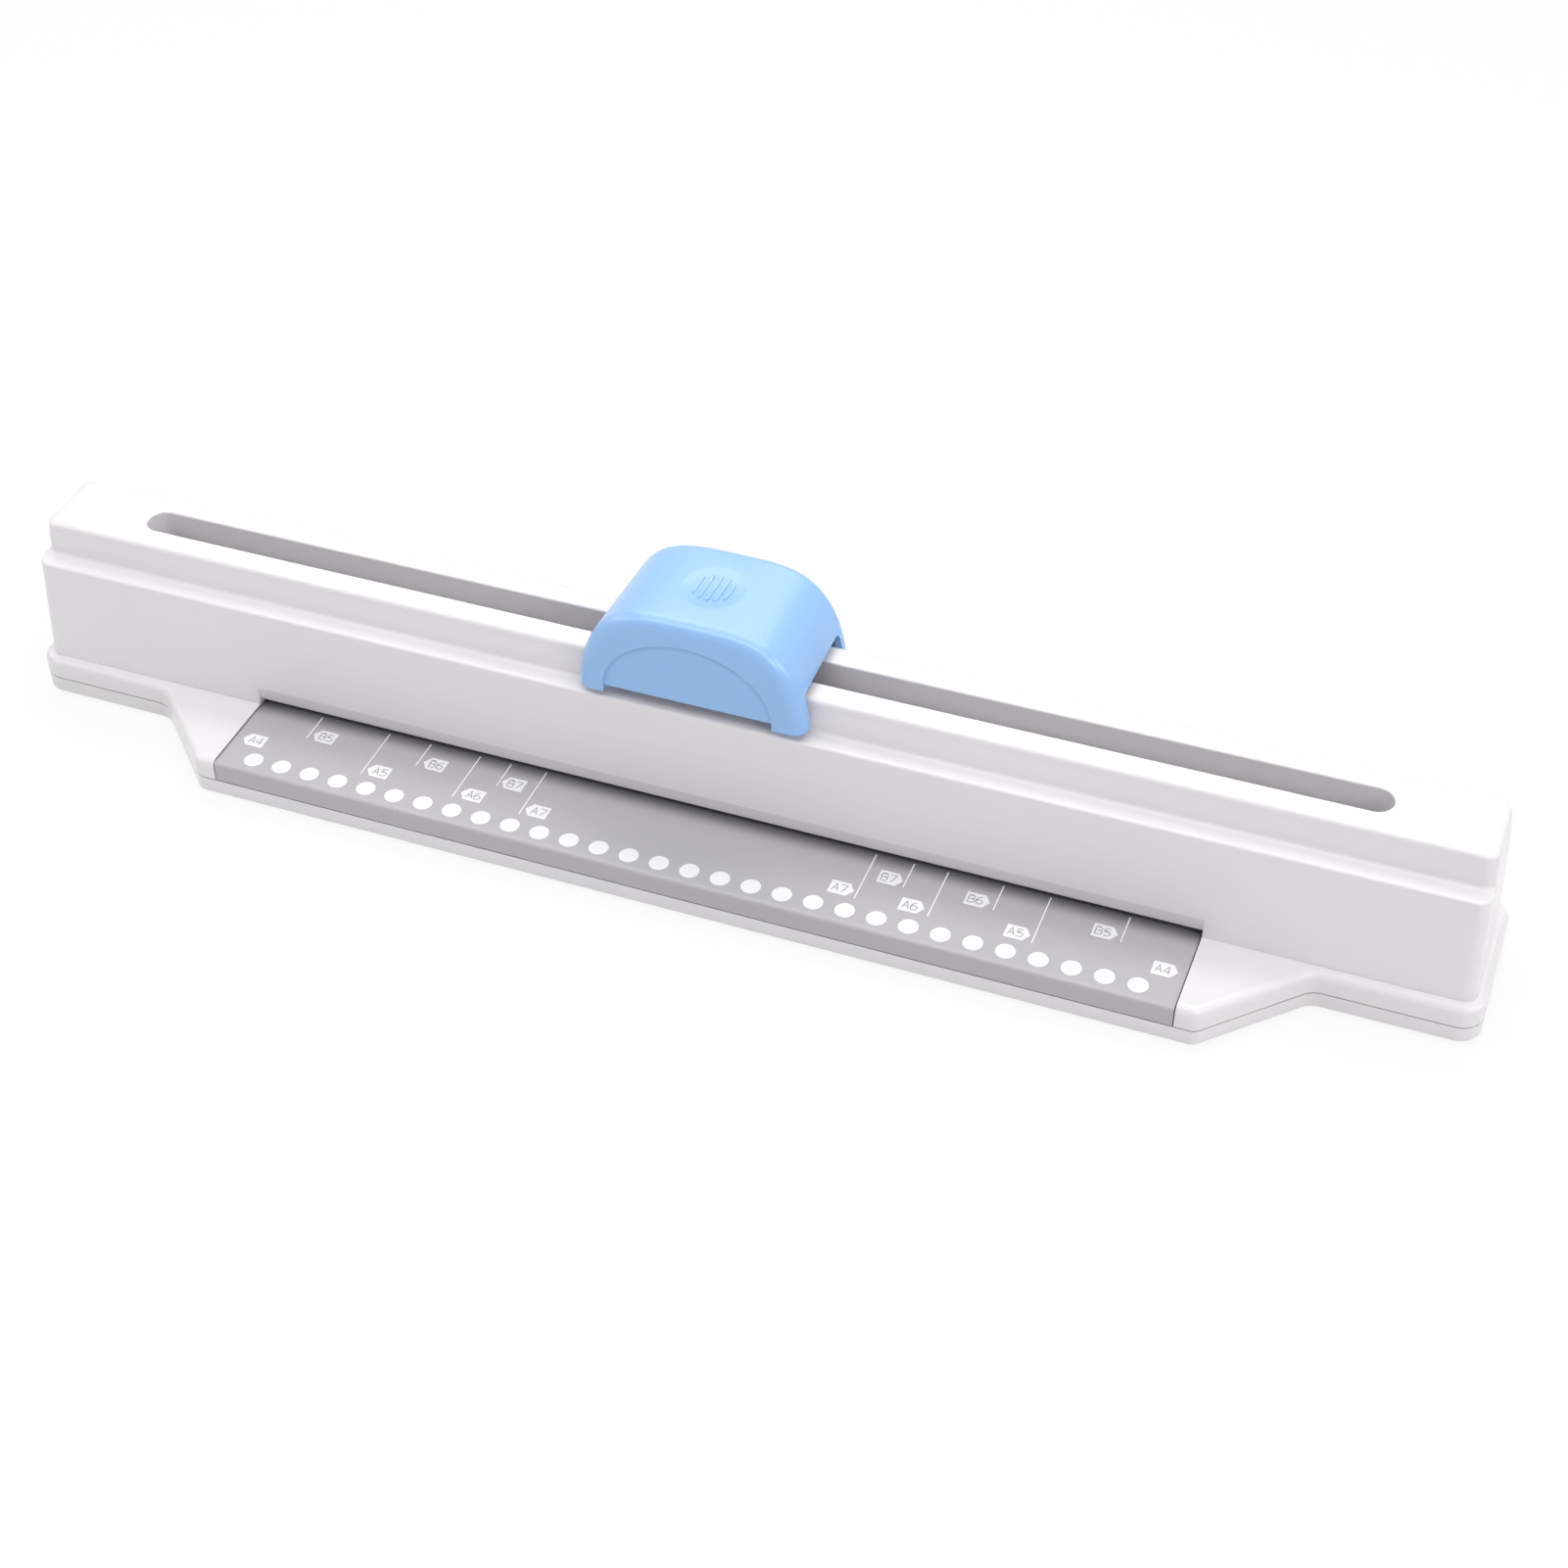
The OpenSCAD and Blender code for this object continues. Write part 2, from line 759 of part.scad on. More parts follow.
module base_frame() {
  color(white_abs)
    difference() {
      loft([for (row = base_rows) base_outline(row[1])], [for (row = base_rows) row[0]], [0, housing_y]);
      base_hollow();
      block([-mouth_hx, front_y - over, plate_under_z], [mouth_hx, unit_front_y, base_top_z + over]);
      block([-mouth_hx, front_y - over, 0], [mouth_hx, front_y + apron_t + table_gap, base_top_z]);
      block(
        [-unit_hx - unit_gap, unit_front_y - unit_gap, plate_under_z],
        [unit_hx + unit_gap, unit_back_y + unit_gap, base_top_z + over]
      );
      block([-chip_hx, housing_y - chip_hy, 0], [chip_hx, housing_y + chip_hy, base_top_z]);
      both_ends() {
        both_sides(post_y)
          translate([post_x, 0, 0])
            deck_hole(screw_r + seat_gap, screw_face_z);
        translate([rear_post_x, rear_post_y, 0])
          deck_hole(screw_r + seat_gap, screw_face_z);
        both_sides(bracket_screw_y)
          translate([bracket_x - bracket_screw_in, 0, 0])
            deck_hole(screw_r + seat_gap, screw_face_z);
        both_sides(unit_screw_y)
          translate([unit_screw_x, 0, 0])
            deck_hole(screw_r + seat_gap, low_deck_under_z);
      }
      for (p = table_screw_places)
        translate([p[0], p[1], 0])
          deck_hole(table_screw_r + seat_gap, low_deck_under_z);
    }
}

// pull-off lower half of the base that catches the chips
tray_rows = concat(
  [for (a = edge_steps) [foot_drop + tray_edge_r * (1 - cos(a)), tray_lean + tray_edge_r * (1 - sin(a))]],
  [[tray_top_z, 0]]
);
module chip_tray() {
  color(white_abs)
    difference() {
      union() {
        difference() {
          loft([for (row = tray_rows) base_outline(row[1])], [for (row = tray_rows) row[0]], [0, housing_y]);
          translate([0, 0, tray_floor_z])
            linear_extrude(seam_z)
              polygon(base_outline(tray_wall + tray_lean));
        }
        difference() {
          block(
            [-chip_wall_hx - chip_wall_t, housing_y - chip_wall_hy - chip_wall_t, foot_drop + tray_edge_r],
            [chip_wall_hx + chip_wall_t, housing_y + chip_wall_hy + chip_wall_t, chip_wall_top_z]
          );
          block(
            [-chip_wall_hx, housing_y - chip_wall_hy, tray_floor_z],
            [chip_wall_hx, housing_y + chip_wall_hy, chip_wall_top_z + over]
          );
        }
        for (k = [-tray_rib_half:tray_rib_half])
          translate([k * tray_rib_pitch, 0, 0]) {
            block(
              [-chip_wall_t / 2, front_y + tray_wall, foot_drop + tray_edge_r],
              [chip_wall_t / 2, housing_y - chip_wall_hy - chip_wall_t / 2, seam_z - tray_edge_r]
            );
            block(
              [-chip_wall_t / 2, housing_y + chip_wall_hy + chip_wall_t / 2, foot_drop + tray_edge_r],
              [chip_wall_t / 2, flange_back_y - tray_wall, seam_z - tray_edge_r]
            );
          }
        both_ends() {
          both_sides(tab_y)
            block(
              [base_hx - tab_out - tab_t, -tab_w / 2, foot_drop + tray_edge_r],
              [base_hx - tab_out, tab_w / 2, seam_z + tab_rise]
            );
          block(
            [tab_x - tab_w / 2, flange_back_y - tab_out - tab_t, foot_drop + tray_edge_r],
            [tab_x + tab_w / 2, flange_back_y - tab_out, seam_z + tab_rise]
          );
        }
      }
      for (p = pad_places)
        translate([p[0], p[1], 0])
          post(pad_r + seat_gap, 0, foot_drop + pad_seat);
    }
}

// grey plate with a bent-down apron that the paper lies on
module paper_table() {
  color(grey_abs)
    difference() {
      translate([table_gap - mouth_hx, 0, 0])
        rotate([90, 0, 90])
          linear_extrude(2 * (mouth_hx - table_gap))
            polygon(concat(
              [[front_y, base_bottom_z + apron_lift], [front_y + apron_t, base_bottom_z + apron_lift]],
              [[front_y + apron_t, plate_under_z], [table_back_y, plate_under_z], [table_back_y, table_z]],
              corner_points([table_back_y, table_z], [front_y, table_z], [front_y, base_bottom_z], bend_r)
            ));
      for (p = table_screw_places)
        translate([p[0], p[1], 0])
          post(table_screw_r + seat_gap, plate_under_z - over, plate_under_z + table_screw_bite + seat_gap);
    }
}

// light-blue press cap, a rounded saddle over the housing
function cap_level(y, inset, foot) =
  let (back = (y + cap_hy) / (2 * cap_hy))
  cap_curve(cap_hx - cap_taper * back - inset, cap_top_z - cap_fall * back - inset - cap_spring_z, foot);
module cap_shape(inset, edge_r, foot) {
  half = cap_hy - inset;
  steps = [for (k = [0:cap_edge_n]) 90 * k / cap_edge_n];
  rows = concat(
    [for (a = steps) [edge_r * (1 - sin(a)), -half + edge_r * (1 - cos(a))]],
    [for (a = steps) [edge_r * (1 - cos(a)), half - edge_r * (1 - sin(a))]]
  );
  translate([slider_x, housing_y, 0])
    rotate([90, 0, 0])
      mirror([0, 0, 1])
        loft(
          [for (row = rows) cap_level(row[1], inset + row[0], foot)],
          [for (row = rows) row[1]],
          [0, cap_spring_z]
        );
}
module panel_shape(s) {
  translate([slider_x + panel_x, housing_y + s * (cap_hy - panel_in / 2), 0])
    rotate([90, 0, 0])
      translate([0, 0, -panel_in / 2 - (s > 0 ? over : 0)])
        linear_extrude(panel_in + over)
          polygon(concat(
            [[-panel_hx, cap_foot_z - over], [panel_hx, cap_foot_z - over]],
            [for (k = [0:2 * cap_n])
              [panel_hx * cos(90 * k / cap_n), panel_low_z + (panel_top_z - panel_low_z) * sin(90 * k / cap_n)]]
          ));
}
module thumb_bowl() {
  rotate_extrude()
    polygon(concat(
      [for (k = [0:corner_n])
        [dish_r * k / corner_n, k == corner_n ? 0 : -dish_depth * (1 - pow(k / corner_n, 2))]],
      [[dish_r, over], [0, over]]
    ));
}
module slider_cap() {
  color(blue_abs)
    difference() {
      union() {
        difference() {
          cap_shape(0, cap_edge_r, cap_foot_z);
          cap_shape(cap_wall, cap_edge_r - cap_wall, cap_foot_z - over);
        }
        intersection() {
          cap_shape(cap_wall / 2, cap_edge_r - cap_wall / 2, cap_foot_z);
          translate([slider_x, housing_y, 0])
            union() {
              for (s = [-1, 1])
                translate([0, s * (stem_hy + seat_gap + cheek_t / 2), 0])
                  block([-cheek_hx, -cheek_t / 2, cheek_z], [cheek_hx, cheek_t / 2, cap_top_z]);
              for (s = [-1, 1])
                translate([s * tie_x, 0, 0])
                  difference() {
                    block([-tie_t / 2, -cap_hy, tie_z], [tie_t / 2, cap_hy, cap_top_z]);
                    block(
                      [-tie_t / 2 - over, -stem_hy - seat_gap, tie_z - over],
                      [tie_t / 2 + over, stem_hy + seat_gap, cap_top_z]
                    );
                  }
              for (k = [-1:1])
                translate([k * bear_pitch, 0, 0])
                  block([-tie_t / 2, -stem_hy - cheek_t, stem_top_z], [tie_t / 2, stem_hy + cheek_t, cap_top_z]);
            }
        }
      }
      translate([slider_x - cap_hx - over, housing_y, 0])
        rotate([90, 0, 90])
          linear_extrude(2 * (cap_hx + over))
            polygon(round_outline(
              [[-cap_notch_hy, cap_foot_z - over], [cap_notch_hy, cap_foot_z - over],
               [cap_notch_hy, cap_end_z], [-cap_notch_hy, cap_end_z]],
              [seat_gap, seat_gap, cap_notch_r, cap_notch_r]
            ));
      for (s = [-1, 1]) {
        panel_shape(s);
        translate([slider_x + panel_x - panel_hx, housing_y + s * cap_hy - cap_wall - over, cap_foot_z - over])
          cube([2 * panel_hx, 2 * (cap_wall + over), panel_low_z - cap_foot_z + over]);
        translate([slider_x + s * cross_x, housing_y - cross_hy - over, cross_z])
          rotate([-90, 0, 0])
            cylinder(r = cross_r + seat_gap, h = 2 * (cross_hy + over));
      }
      translate([slider_x + dish_x, housing_y, dish_top_z])
        rotate([-crown_tilt, 0, 0])
          difference() {
            thumb_bowl();
            difference() {
              intersection() {
                post(grip_r, -dish_depth - over, 0);
                for (k = [-grip_half:grip_half])
                  translate([k * grip_pitch, 0, 0])
                    block([-grip_t / 2, -grip_r, -dish_depth - over], [grip_t / 2, grip_r, 0]);
              }
              translate([0, 0, grip_h])
                thumb_bowl();
            }
          }
    }
}

// bar that pushes the pins, with the stem that carries the cap
module presser_bar() {
  color(dark_nylon)
    translate([slider_x, housing_y, 0])
      difference() {
        union() {
          rotate([90, 0, 0])
            translate([0, 0, -presser_hy])
              linear_extrude(2 * presser_hy)
                polygon(round_outline(
                  [[-presser_hx, presser_z], [presser_hx, presser_z],
                   [presser_hx, stem_low_z], [-presser_hx, stem_low_z]],
                  [presser_r, presser_r, seat_gap, seat_gap]
                ));
          block(
            [-presser_flange_hx, -presser_flange_hy, presser_flange_z],
            [presser_flange_hx, presser_flange_hy, stem_low_z]
          );
          block([-stem_hx, -stem_hy, stem_low_z], [stem_hx, stem_hy, stem_top_z]);
        }
        for (s = [-1, 1]) {
          translate([s * guide_x, 0, 0])
            post(guide_r + seat_gap, presser_flange_z - over, presser_flange_z + guide_bite + seat_gap);
          translate([s * cross_x, -stem_hy - over, cross_z])
            rotate([-90, 0, 0])
              cylinder(r = cross_r + seat_gap, h = 2 * (stem_hy + over));
        }
      }
}

// block that runs on the two rods and guides the presser
module slide_carriage() {
  color(dark_nylon)
    translate([slider_x, housing_y, 0])
      difference() {
        block([-carriage_hx, -carriage_hy, carriage_z], [carriage_hx, carriage_hy, carriage_top_z]);
        block(
          [-presser_hx - window_gap, -presser_hy - window_gap, carriage_z - over],
          [presser_hx + window_gap, presser_hy + window_gap, carriage_top_z + over]
        );
        for (s = [-1, 1]) {
          translate([0, s * rod_y, rod_z])
            bar_x(rod_r + slide_fit, -carriage_hx - over, carriage_hx + over);
          translate([s * guide_x, 0, 0]) {
            post(guide_r + slide_fit, carriage_z - over, carriage_top_z + over);
            post(guide_head_r + run_gap, carriage_z - over, guide_recess_z);
          }
        }
        for (s = [0, 1])
          mirror([0, s, 0])
            block(
              [-waist_hx, carriage_hy - waist_in, carriage_z - over],
              [waist_hx, carriage_hy + over, carriage_top_z + over]
            );
      }
}

// shouldered posts that guide the presser in the carriage
module guide_posts() {
  color(plain_steel)
    for (s = [-1, 1])
      translate([slider_x + s * guide_x, housing_y, 0]) {
        post(guide_r, guide_head_z, presser_flange_z + guide_bite);
        post(guide_head_r, guide_head_z - guide_head_h, guide_head_z);
      }
}

// return springs of the press cap, drawn as sleeves
module handle_springs() {
  color(plain_steel)
    for (s = [-1, 1])
      translate([slider_x + s * guide_x, housing_y, 0])
        difference() {
          post(guide_r + run_gap + handle_wire, carriage_top_z, presser_flange_z);
          post(guide_r + run_gap, carriage_top_z - over, presser_flange_z + over);
        }
}

// pins that hold the cap on its stem
module cross_pins() {
  color(plain_steel)
    for (s = [-1, 1])
      translate([slider_x + s * cross_x, housing_y - cross_hy, cross_z])
        rotate([-90, 0, 0])
          cylinder(r = cross_r, h = 2 * cross_hy);
}

// rods that the carriage runs on
module guide_rods() {
  color(plain_steel)
    both_sides(rod_y)
      translate([0, 0, rod_z])
        bar_x(rod_r, -rod_hx, rod_hx);
}

// end brackets that hold the rods
module end_brackets() {
  color(plain_steel)
    both_ends()
      difference() {
        union() {
          block(
            [bracket_x, housing_y - bracket_hy, base_top_z],
            [bracket_x + bracket_t, housing_y + bracket_hy, bracket_top_z]
          );
          block(
            [bracket_x - bracket_foot, housing_y - bracket_hy, base_top_z],
            [bracket_x + bracket_t, housing_y + bracket_hy, base_top_z + bracket_foot_t]
          );
        }
        both_sides(rod_y)
          translate([0, 0, rod_z])
            bar_x(rod_r + seat_gap, bracket_x - over, bracket_x + bracket_t + over);
        both_sides(bracket_screw_y)
          translate([bracket_x - bracket_screw_in, 0, 0])
            post(screw_r + seat_gap, base_top_z - over, base_top_z + bracket_foot_t + over);
      }
}
module bracket_screws() {
  color(plain_steel)
    both_ends()
      both_sides(bracket_screw_y)
        translate([bracket_x - bracket_screw_in, 0, 0])
          screw(screw_r, screw_head_r, base_top_z + bracket_foot_t, screw_face_z, false);
}

// rubber rings that stop the carriage
module rail_bumpers() {
  color(black_rubber)
    both_ends()
      both_sides(rod_y)
        translate([0, 0, rod_z])
          difference() {
            bar_x(bumper_r, bracket_x - bumper_l, bracket_x);
            bar_x(rod_r + seat_gap, bracket_x - bumper_l - over, bracket_x + over);
          }
}

// holes in line with the punch pins
module pin_holes(z0, z1) {
  for (i = [0:pin_count - 1])
    translate([pin_pitch * i - pin_row_hx, housing_y, 0])
      post(pin_r + slide_fit, z0 - over, z1 + over);
}
module unit_holes(z0, z1) {
  both_ends()
    both_sides(unit_screw_y)
      translate([unit_screw_x, 0, 0])
        post(screw_r + seat_gap, z0 - over, z1 + over);
}

// steel plate with the row of dies
module die_plate() {
  color(plain_steel)
    difference() {
      block([-unit_hx, unit_front_y, plate_under_z], [unit_hx, unit_back_y, table_z]);
      pin_holes(plate_under_z, table_z);
      unit_holes(plate_under_z, table_z);
    }
}

// shim that holds the throat open and stops the paper
module spacer_frame() {
  color(plain_steel)
    difference() {
      block([-unit_hx, unit_front_y, table_z], [unit_hx, unit_back_y, throat_top_z]);
      block(
        [-mouth_hx, unit_front_y - over, table_z - over],
        [mouth_hx, housing_y + stop_y, throat_top_z + over]
      );
      unit_holes(table_z, throat_top_z);
    }
}

// folded channel that guides the pins above the throat
module guide_channel() {
  color(plain_steel)
    difference() {
      block([-unit_hx, unit_front_y, throat_top_z], [unit_hx, unit_back_y, channel_top_z]);
      block(
        [-unit_hx + channel_t, unit_front_y - over, channel_floor_z],
        [unit_hx - channel_t, unit_back_y - channel_t, channel_roof_z]
      );
      pin_holes(throat_top_z, channel_top_z);
      unit_holes(throat_top_z, channel_floor_z);
      both_ends()
        both_sides(unit_screw_y)
          translate([unit_screw_x, 0, 0])
            post(screw_head_r, channel_roof_z - over, channel_top_z + over);
    }
}
module unit_screws() {
  color(plain_steel)
    both_ends()
      both_sides(unit_screw_y)
        translate([unit_screw_x, 0, 0])
          screw(screw_r, screw_head_r, low_deck_under_z, channel_floor_z, true);
}

// punch pin with head, retaining ring and notched tip
module punch_pin(i) {
  color(plain_steel)
    translate([pin_pitch * i - pin_row_hx, housing_y, 0])
      difference() {
        union() {
          post(pin_r, pin_tip_z, pin_neck_z);
          post(pin_head_r, pin_neck_z, pin_top_z);
          post(pin_ring_r, channel_roof_z - run_gap - pin_ring_h, channel_roof_z - run_gap);
        }
        translate([0, -pin_r - over, pin_tip_z - pin_r])
          rotate([-90, 0, 0])
            linear_extrude(2 * (pin_r + over))
                polygon([
                  [-pin_r, -pin_r],
                  [0, -pin_r - pin_notch],
                  [pin_r, -pin_r],
                  [pin_r, over],
                  [-pin_r, over]
                ]);
      }
}

// return springs of the punch pins, drawn as sleeves
module pin_springs() {
  color(plain_steel)
    for (i = [0:pin_count - 1])
      translate([pin_pitch * i - pin_row_hx, housing_y, 0])
        difference() {
          post(pin_r + spring_gap + pin_wire, channel_top_z, pin_neck_z);
          post(pin_r + spring_gap, channel_top_z - over, pin_neck_z + over);
        }
}

// screws that hold the housing on the base
module housing_screws() {
  color(plain_steel)
    both_ends() {
      both_sides(post_y)
        translate([post_x, 0, 0])
          screw(screw_r, screw_head_r, screw_face_z, base_top_z + screw_bite, true);
      translate([rear_post_x, rear_post_y, 0])
        screw(screw_r, screw_head_r, screw_face_z, base_top_z + screw_bite, true);
    }
}
module table_screws() {
  color(plain_steel)
    for (p = table_screw_places)
      translate([p[0], p[1], 0])
        screw(table_screw_r, screw_head_r, low_deck_under_z, plate_under_z + table_screw_bite, true);
}
module rubber_feet() {
  color(black_rubber)
    for (p = pad_places)
      translate([p[0], p[1], 0])
        post(pad_r, 0, foot_drop + pad_seat);
}

top_housing();
base_frame();
chip_tray();
paper_table();
slider_cap();
presser_bar();
slide_carriage();
guide_posts();
handle_springs();
cross_pins();
guide_rods();
end_brackets();
bracket_screws();
rail_bumpers();
die_plate();
spacer_frame();
guide_channel();
unit_screws();
pin_springs();
housing_screws();
table_screws();
rubber_feet();
punch_pin(0);  // punch_pin_01
punch_pin(1);  // punch_pin_02
punch_pin(2);  // punch_pin_03
punch_pin(3);  // punch_pin_04
punch_pin(4);  // punch_pin_05
punch_pin(5);  // punch_pin_06
punch_pin(6);  // punch_pin_07
punch_pin(7);  // punch_pin_08
punch_pin(8);  // punch_pin_09
punch_pin(9);  // punch_pin_10
punch_pin(10);  // punch_pin_11
punch_pin(11);  // punch_pin_12
punch_pin(12);  // punch_pin_13
punch_pin(13);  // punch_pin_14
punch_pin(14);  // punch_pin_15
punch_pin(15);  // punch_pin_16
punch_pin(16);  // punch_pin_17
punch_pin(17);  // punch_pin_18
punch_pin(18);  // punch_pin_19
punch_pin(19);  // punch_pin_20
punch_pin(20);  // punch_pin_21
punch_pin(21);  // punch_pin_22
punch_pin(22);  // punch_pin_23
punch_pin(23);  // punch_pin_24
punch_pin(24);  // punch_pin_25
punch_pin(25);  // punch_pin_26
punch_pin(26);  // punch_pin_27
punch_pin(27);  // punch_pin_28
punch_pin(28);  // punch_pin_29
punch_pin(29);  // punch_pin_30
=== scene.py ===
import math
import bpy
import bmesh
from mathutils import Matrix, Vector


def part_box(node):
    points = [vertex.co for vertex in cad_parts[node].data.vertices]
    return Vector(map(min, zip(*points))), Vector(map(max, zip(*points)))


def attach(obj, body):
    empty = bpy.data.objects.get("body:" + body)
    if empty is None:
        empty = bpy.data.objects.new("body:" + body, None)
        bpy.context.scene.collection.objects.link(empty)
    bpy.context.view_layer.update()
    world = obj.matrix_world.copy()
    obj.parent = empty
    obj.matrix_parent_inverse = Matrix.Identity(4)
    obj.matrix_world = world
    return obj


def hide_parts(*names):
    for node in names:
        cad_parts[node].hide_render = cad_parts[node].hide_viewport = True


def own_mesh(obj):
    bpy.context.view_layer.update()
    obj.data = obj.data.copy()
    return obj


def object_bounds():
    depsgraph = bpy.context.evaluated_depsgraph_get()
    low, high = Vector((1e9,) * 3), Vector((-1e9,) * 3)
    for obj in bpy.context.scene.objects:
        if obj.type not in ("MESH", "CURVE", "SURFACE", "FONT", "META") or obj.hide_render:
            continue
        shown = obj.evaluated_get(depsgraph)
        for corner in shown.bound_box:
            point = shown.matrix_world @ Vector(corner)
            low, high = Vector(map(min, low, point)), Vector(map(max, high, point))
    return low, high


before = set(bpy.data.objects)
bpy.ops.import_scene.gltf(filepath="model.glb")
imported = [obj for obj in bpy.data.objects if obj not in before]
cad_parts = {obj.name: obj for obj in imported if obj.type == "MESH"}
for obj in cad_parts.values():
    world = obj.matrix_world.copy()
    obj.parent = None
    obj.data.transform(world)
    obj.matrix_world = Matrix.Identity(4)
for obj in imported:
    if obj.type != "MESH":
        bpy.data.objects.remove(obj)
cad_low, cad_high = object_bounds()
MM = 0.001

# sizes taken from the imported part
PIN_COUNT = 30
table_low, table_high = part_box("paper_table")
housing_low, housing_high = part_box("top_housing")
tray_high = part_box("chip_tray")[1]
pin_boxes = [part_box(f"punch_pin_{i:02d}") for i in range(1, PIN_COUNT + 1)]
hole_xs = [(low.x + high.x) / 2 for low, high in pin_boxes]
hole_row_y = (housing_low.y + housing_high.y) / 2

# camera of the photograph: pixels of the picture, millimetres of the sensor, metres, degrees
PHOTO_PX = 1601
FOCAL_PX = 2697.8
SENSOR_W = 36.0
CAMERA_PLACE = Vector((0.2322, -0.5401, 0.5324))
CAMERA_ELEVATION = 41.177
CAMERA_AZIMUTH = 21.306
CAMERA_ROLL = -0.786
NEAR_CLIP = 0.01
FAR_CLIP = 50


def put_in_scene(item):
    """An object is linked to the scene's own collection."""
    bpy.context.scene.collection.objects.link(item)


def place_camera():
    """Camera at the photograph's place, tilt and framing."""
    az, el, roll = (math.radians(a) for a in (CAMERA_AZIMUTH, CAMERA_ELEVATION, CAMERA_ROLL))
    forward = Vector((-math.sin(az) * math.cos(el), math.cos(az) * math.cos(el), -math.sin(el)))
    level = Vector((math.cos(az), math.sin(az), 0))
    down = forward.cross(level)
    right = math.cos(roll) * level - math.sin(roll) * down
    low = math.sin(roll) * level + math.cos(roll) * down
    lens = bpy.data.cameras.new("photo_camera")
    lens.sensor_fit = "HORIZONTAL"
    lens.sensor_width = SENSOR_W
    lens.lens = FOCAL_PX * SENSOR_W / PHOTO_PX
    lens.clip_start = NEAR_CLIP
    lens.clip_end = FAR_CLIP
    camera = bpy.data.objects.new("photo_camera", lens)
    turn = Matrix((right, -low, -forward)).transposed().to_4x4()
    camera.matrix_world = Matrix.Translation(CAMERA_PLACE) @ turn
    put_in_scene(camera)
    bpy.context.scene.camera = camera


# node helpers
# places of the colour mix's sockets: factor, first colour, second colour, and the mixed colour
MIX_INPUTS = (0, 6, 7)
MIX_OUTPUT = 2


def feed(tree, socket, source):
    """A socket is linked to another node's output, or set to a plain value."""
    if isinstance(source, bpy.types.NodeSocket):
        tree.links.new(source, socket)
    else:
        socket.default_value = source


def add(tree, kind, sockets=None, **values):
    """Node of a kind with its properties set and its sockets fed."""
    node = tree.nodes.new(kind)
    for key, value in values.items():
        setattr(node, key, value)
    for label, source in (sockets or {}).items():
        feed(tree, node.inputs[label], source)
    return node


def new_group(name, inputs, outputs):
    """Shader node group with its sockets, and its input and output nodes."""
    tree = bpy.data.node_groups.new(name, "ShaderNodeTree")
    for label, kind in inputs:
        tree.interface.new_socket(label, in_out="INPUT", socket_type="NodeSocket" + kind)
    for label, kind in outputs:
        tree.interface.new_socket(label, in_out="OUTPUT", socket_type="NodeSocket" + kind)
    return tree, tree.nodes.new("NodeGroupInput").outputs, tree.nodes.new("NodeGroupOutput").inputs


def place_group(tree, group, **values):
    """A group placed in a material, its sockets fed or set."""
    sockets = {label.replace("_", " "): source for label, source in values.items()}
    return add(tree, "ShaderNodeGroup", sockets, node_tree=group).outputs


def mixed(tree, factor, first, second):
    """Colour between two colours."""
    node = add(tree, "ShaderNodeMix", data_type="RGBA", clamp_factor=True)
    for place, source in zip(MIX_INPUTS, (factor, first, second)):
        feed(tree, node.inputs[place], source)
    return node.outputs[MIX_OUTPUT]


def ranged(tree, value, from_range, to_range=(0.0, 1.0)):
    """Value mapped from one range to another, and held inside it."""
    sockets = {"Value": value, "From Min": from_range[0], "From Max": from_range[1],
               "To Min": to_range[0], "To Max": to_range[1]}
    return add(tree, "ShaderNodeMapRange", sockets, clamp=True).outputs[0]


def noise(tree, place, scale, detail):
    """Soft noise at a place, its scale in cells to the metre."""
    return add(tree, "ShaderNodeTexNoise", {"Vector": place, "Scale": scale, "Detail": detail}).outputs["Fac"]


def maths(tree, operation, first, second, hold=False):
    """One sum on two values, held between 0 and 1 if wanted."""
    return add(tree, "ShaderNodeMath", {0: first, 1: second}, operation=operation, use_clamp=hold).outputs[0]


def shared(tree, first, second, first_share):
    """Sum of two values, each by its share."""
    return maths(tree, "ADD", maths(tree, "MULTIPLY", first, first_share),
                 maths(tree, "MULTIPLY", second, 1.0 - first_share))


def own_place(tree):
    """Place on the piece itself, in metres."""
    return add(tree, "ShaderNodeTexCoord").outputs["Object"]


def face_normal(tree):
    """Direction that the surface faces."""
    return add(tree, "ShaderNodeNewGeometry").outputs["Normal"]


# moulded grain: ranges of noise that show, noise detail, scale of the flecks, share of grain in the gloss
CLOUD_RANGE = (0.35, 0.65)
CLOUD_DETAIL = 4.0
GRAIN_DETAIL = 3.0
FLECK_SCALE = 900.0
FLECK_DETAIL = 1.0
FLECK_RANGE = (0.76, 0.80)
GRAIN_SHARE = 0.5
GLOSS_RANGE = (0.2, 0.8)


def grain_group():
    """Moulded grain: clouds in the colour, uneven gloss and a fine pebbled height."""
    tree, given, result = new_group(
        "moulded_grain",
        [("Colour", "Color"), ("Shade", "Color"), ("Cloud Scale", "Float"), ("Grain Scale", "Float"),
         ("Rough Low", "Float"), ("Rough High", "Float")],
        [("Colour", "Color"), ("Roughness", "Float"), ("Height", "Float")],
    )
    place = own_place(tree)
    cloud = ranged(tree, noise(tree, place, given["Cloud Scale"], CLOUD_DETAIL), CLOUD_RANGE)
    grain = noise(tree, place, given["Grain Scale"], GRAIN_DETAIL)
    flecks = ranged(tree, noise(tree, place, FLECK_SCALE, FLECK_DETAIL), FLECK_RANGE)
    shade = maths(tree, "MAXIMUM", cloud, flecks)
    gloss = shared(tree, grain, cloud, GRAIN_SHARE)
    rough = ranged(tree, gloss, GLOSS_RANGE, (given["Rough Low"], given["Rough High"]))
    feed(tree, result["Colour"], mixed(tree, shade, given["Colour"], given["Shade"]))
    feed(tree, result["Roughness"], rough)
    feed(tree, result["Height"], grain)
    return tree


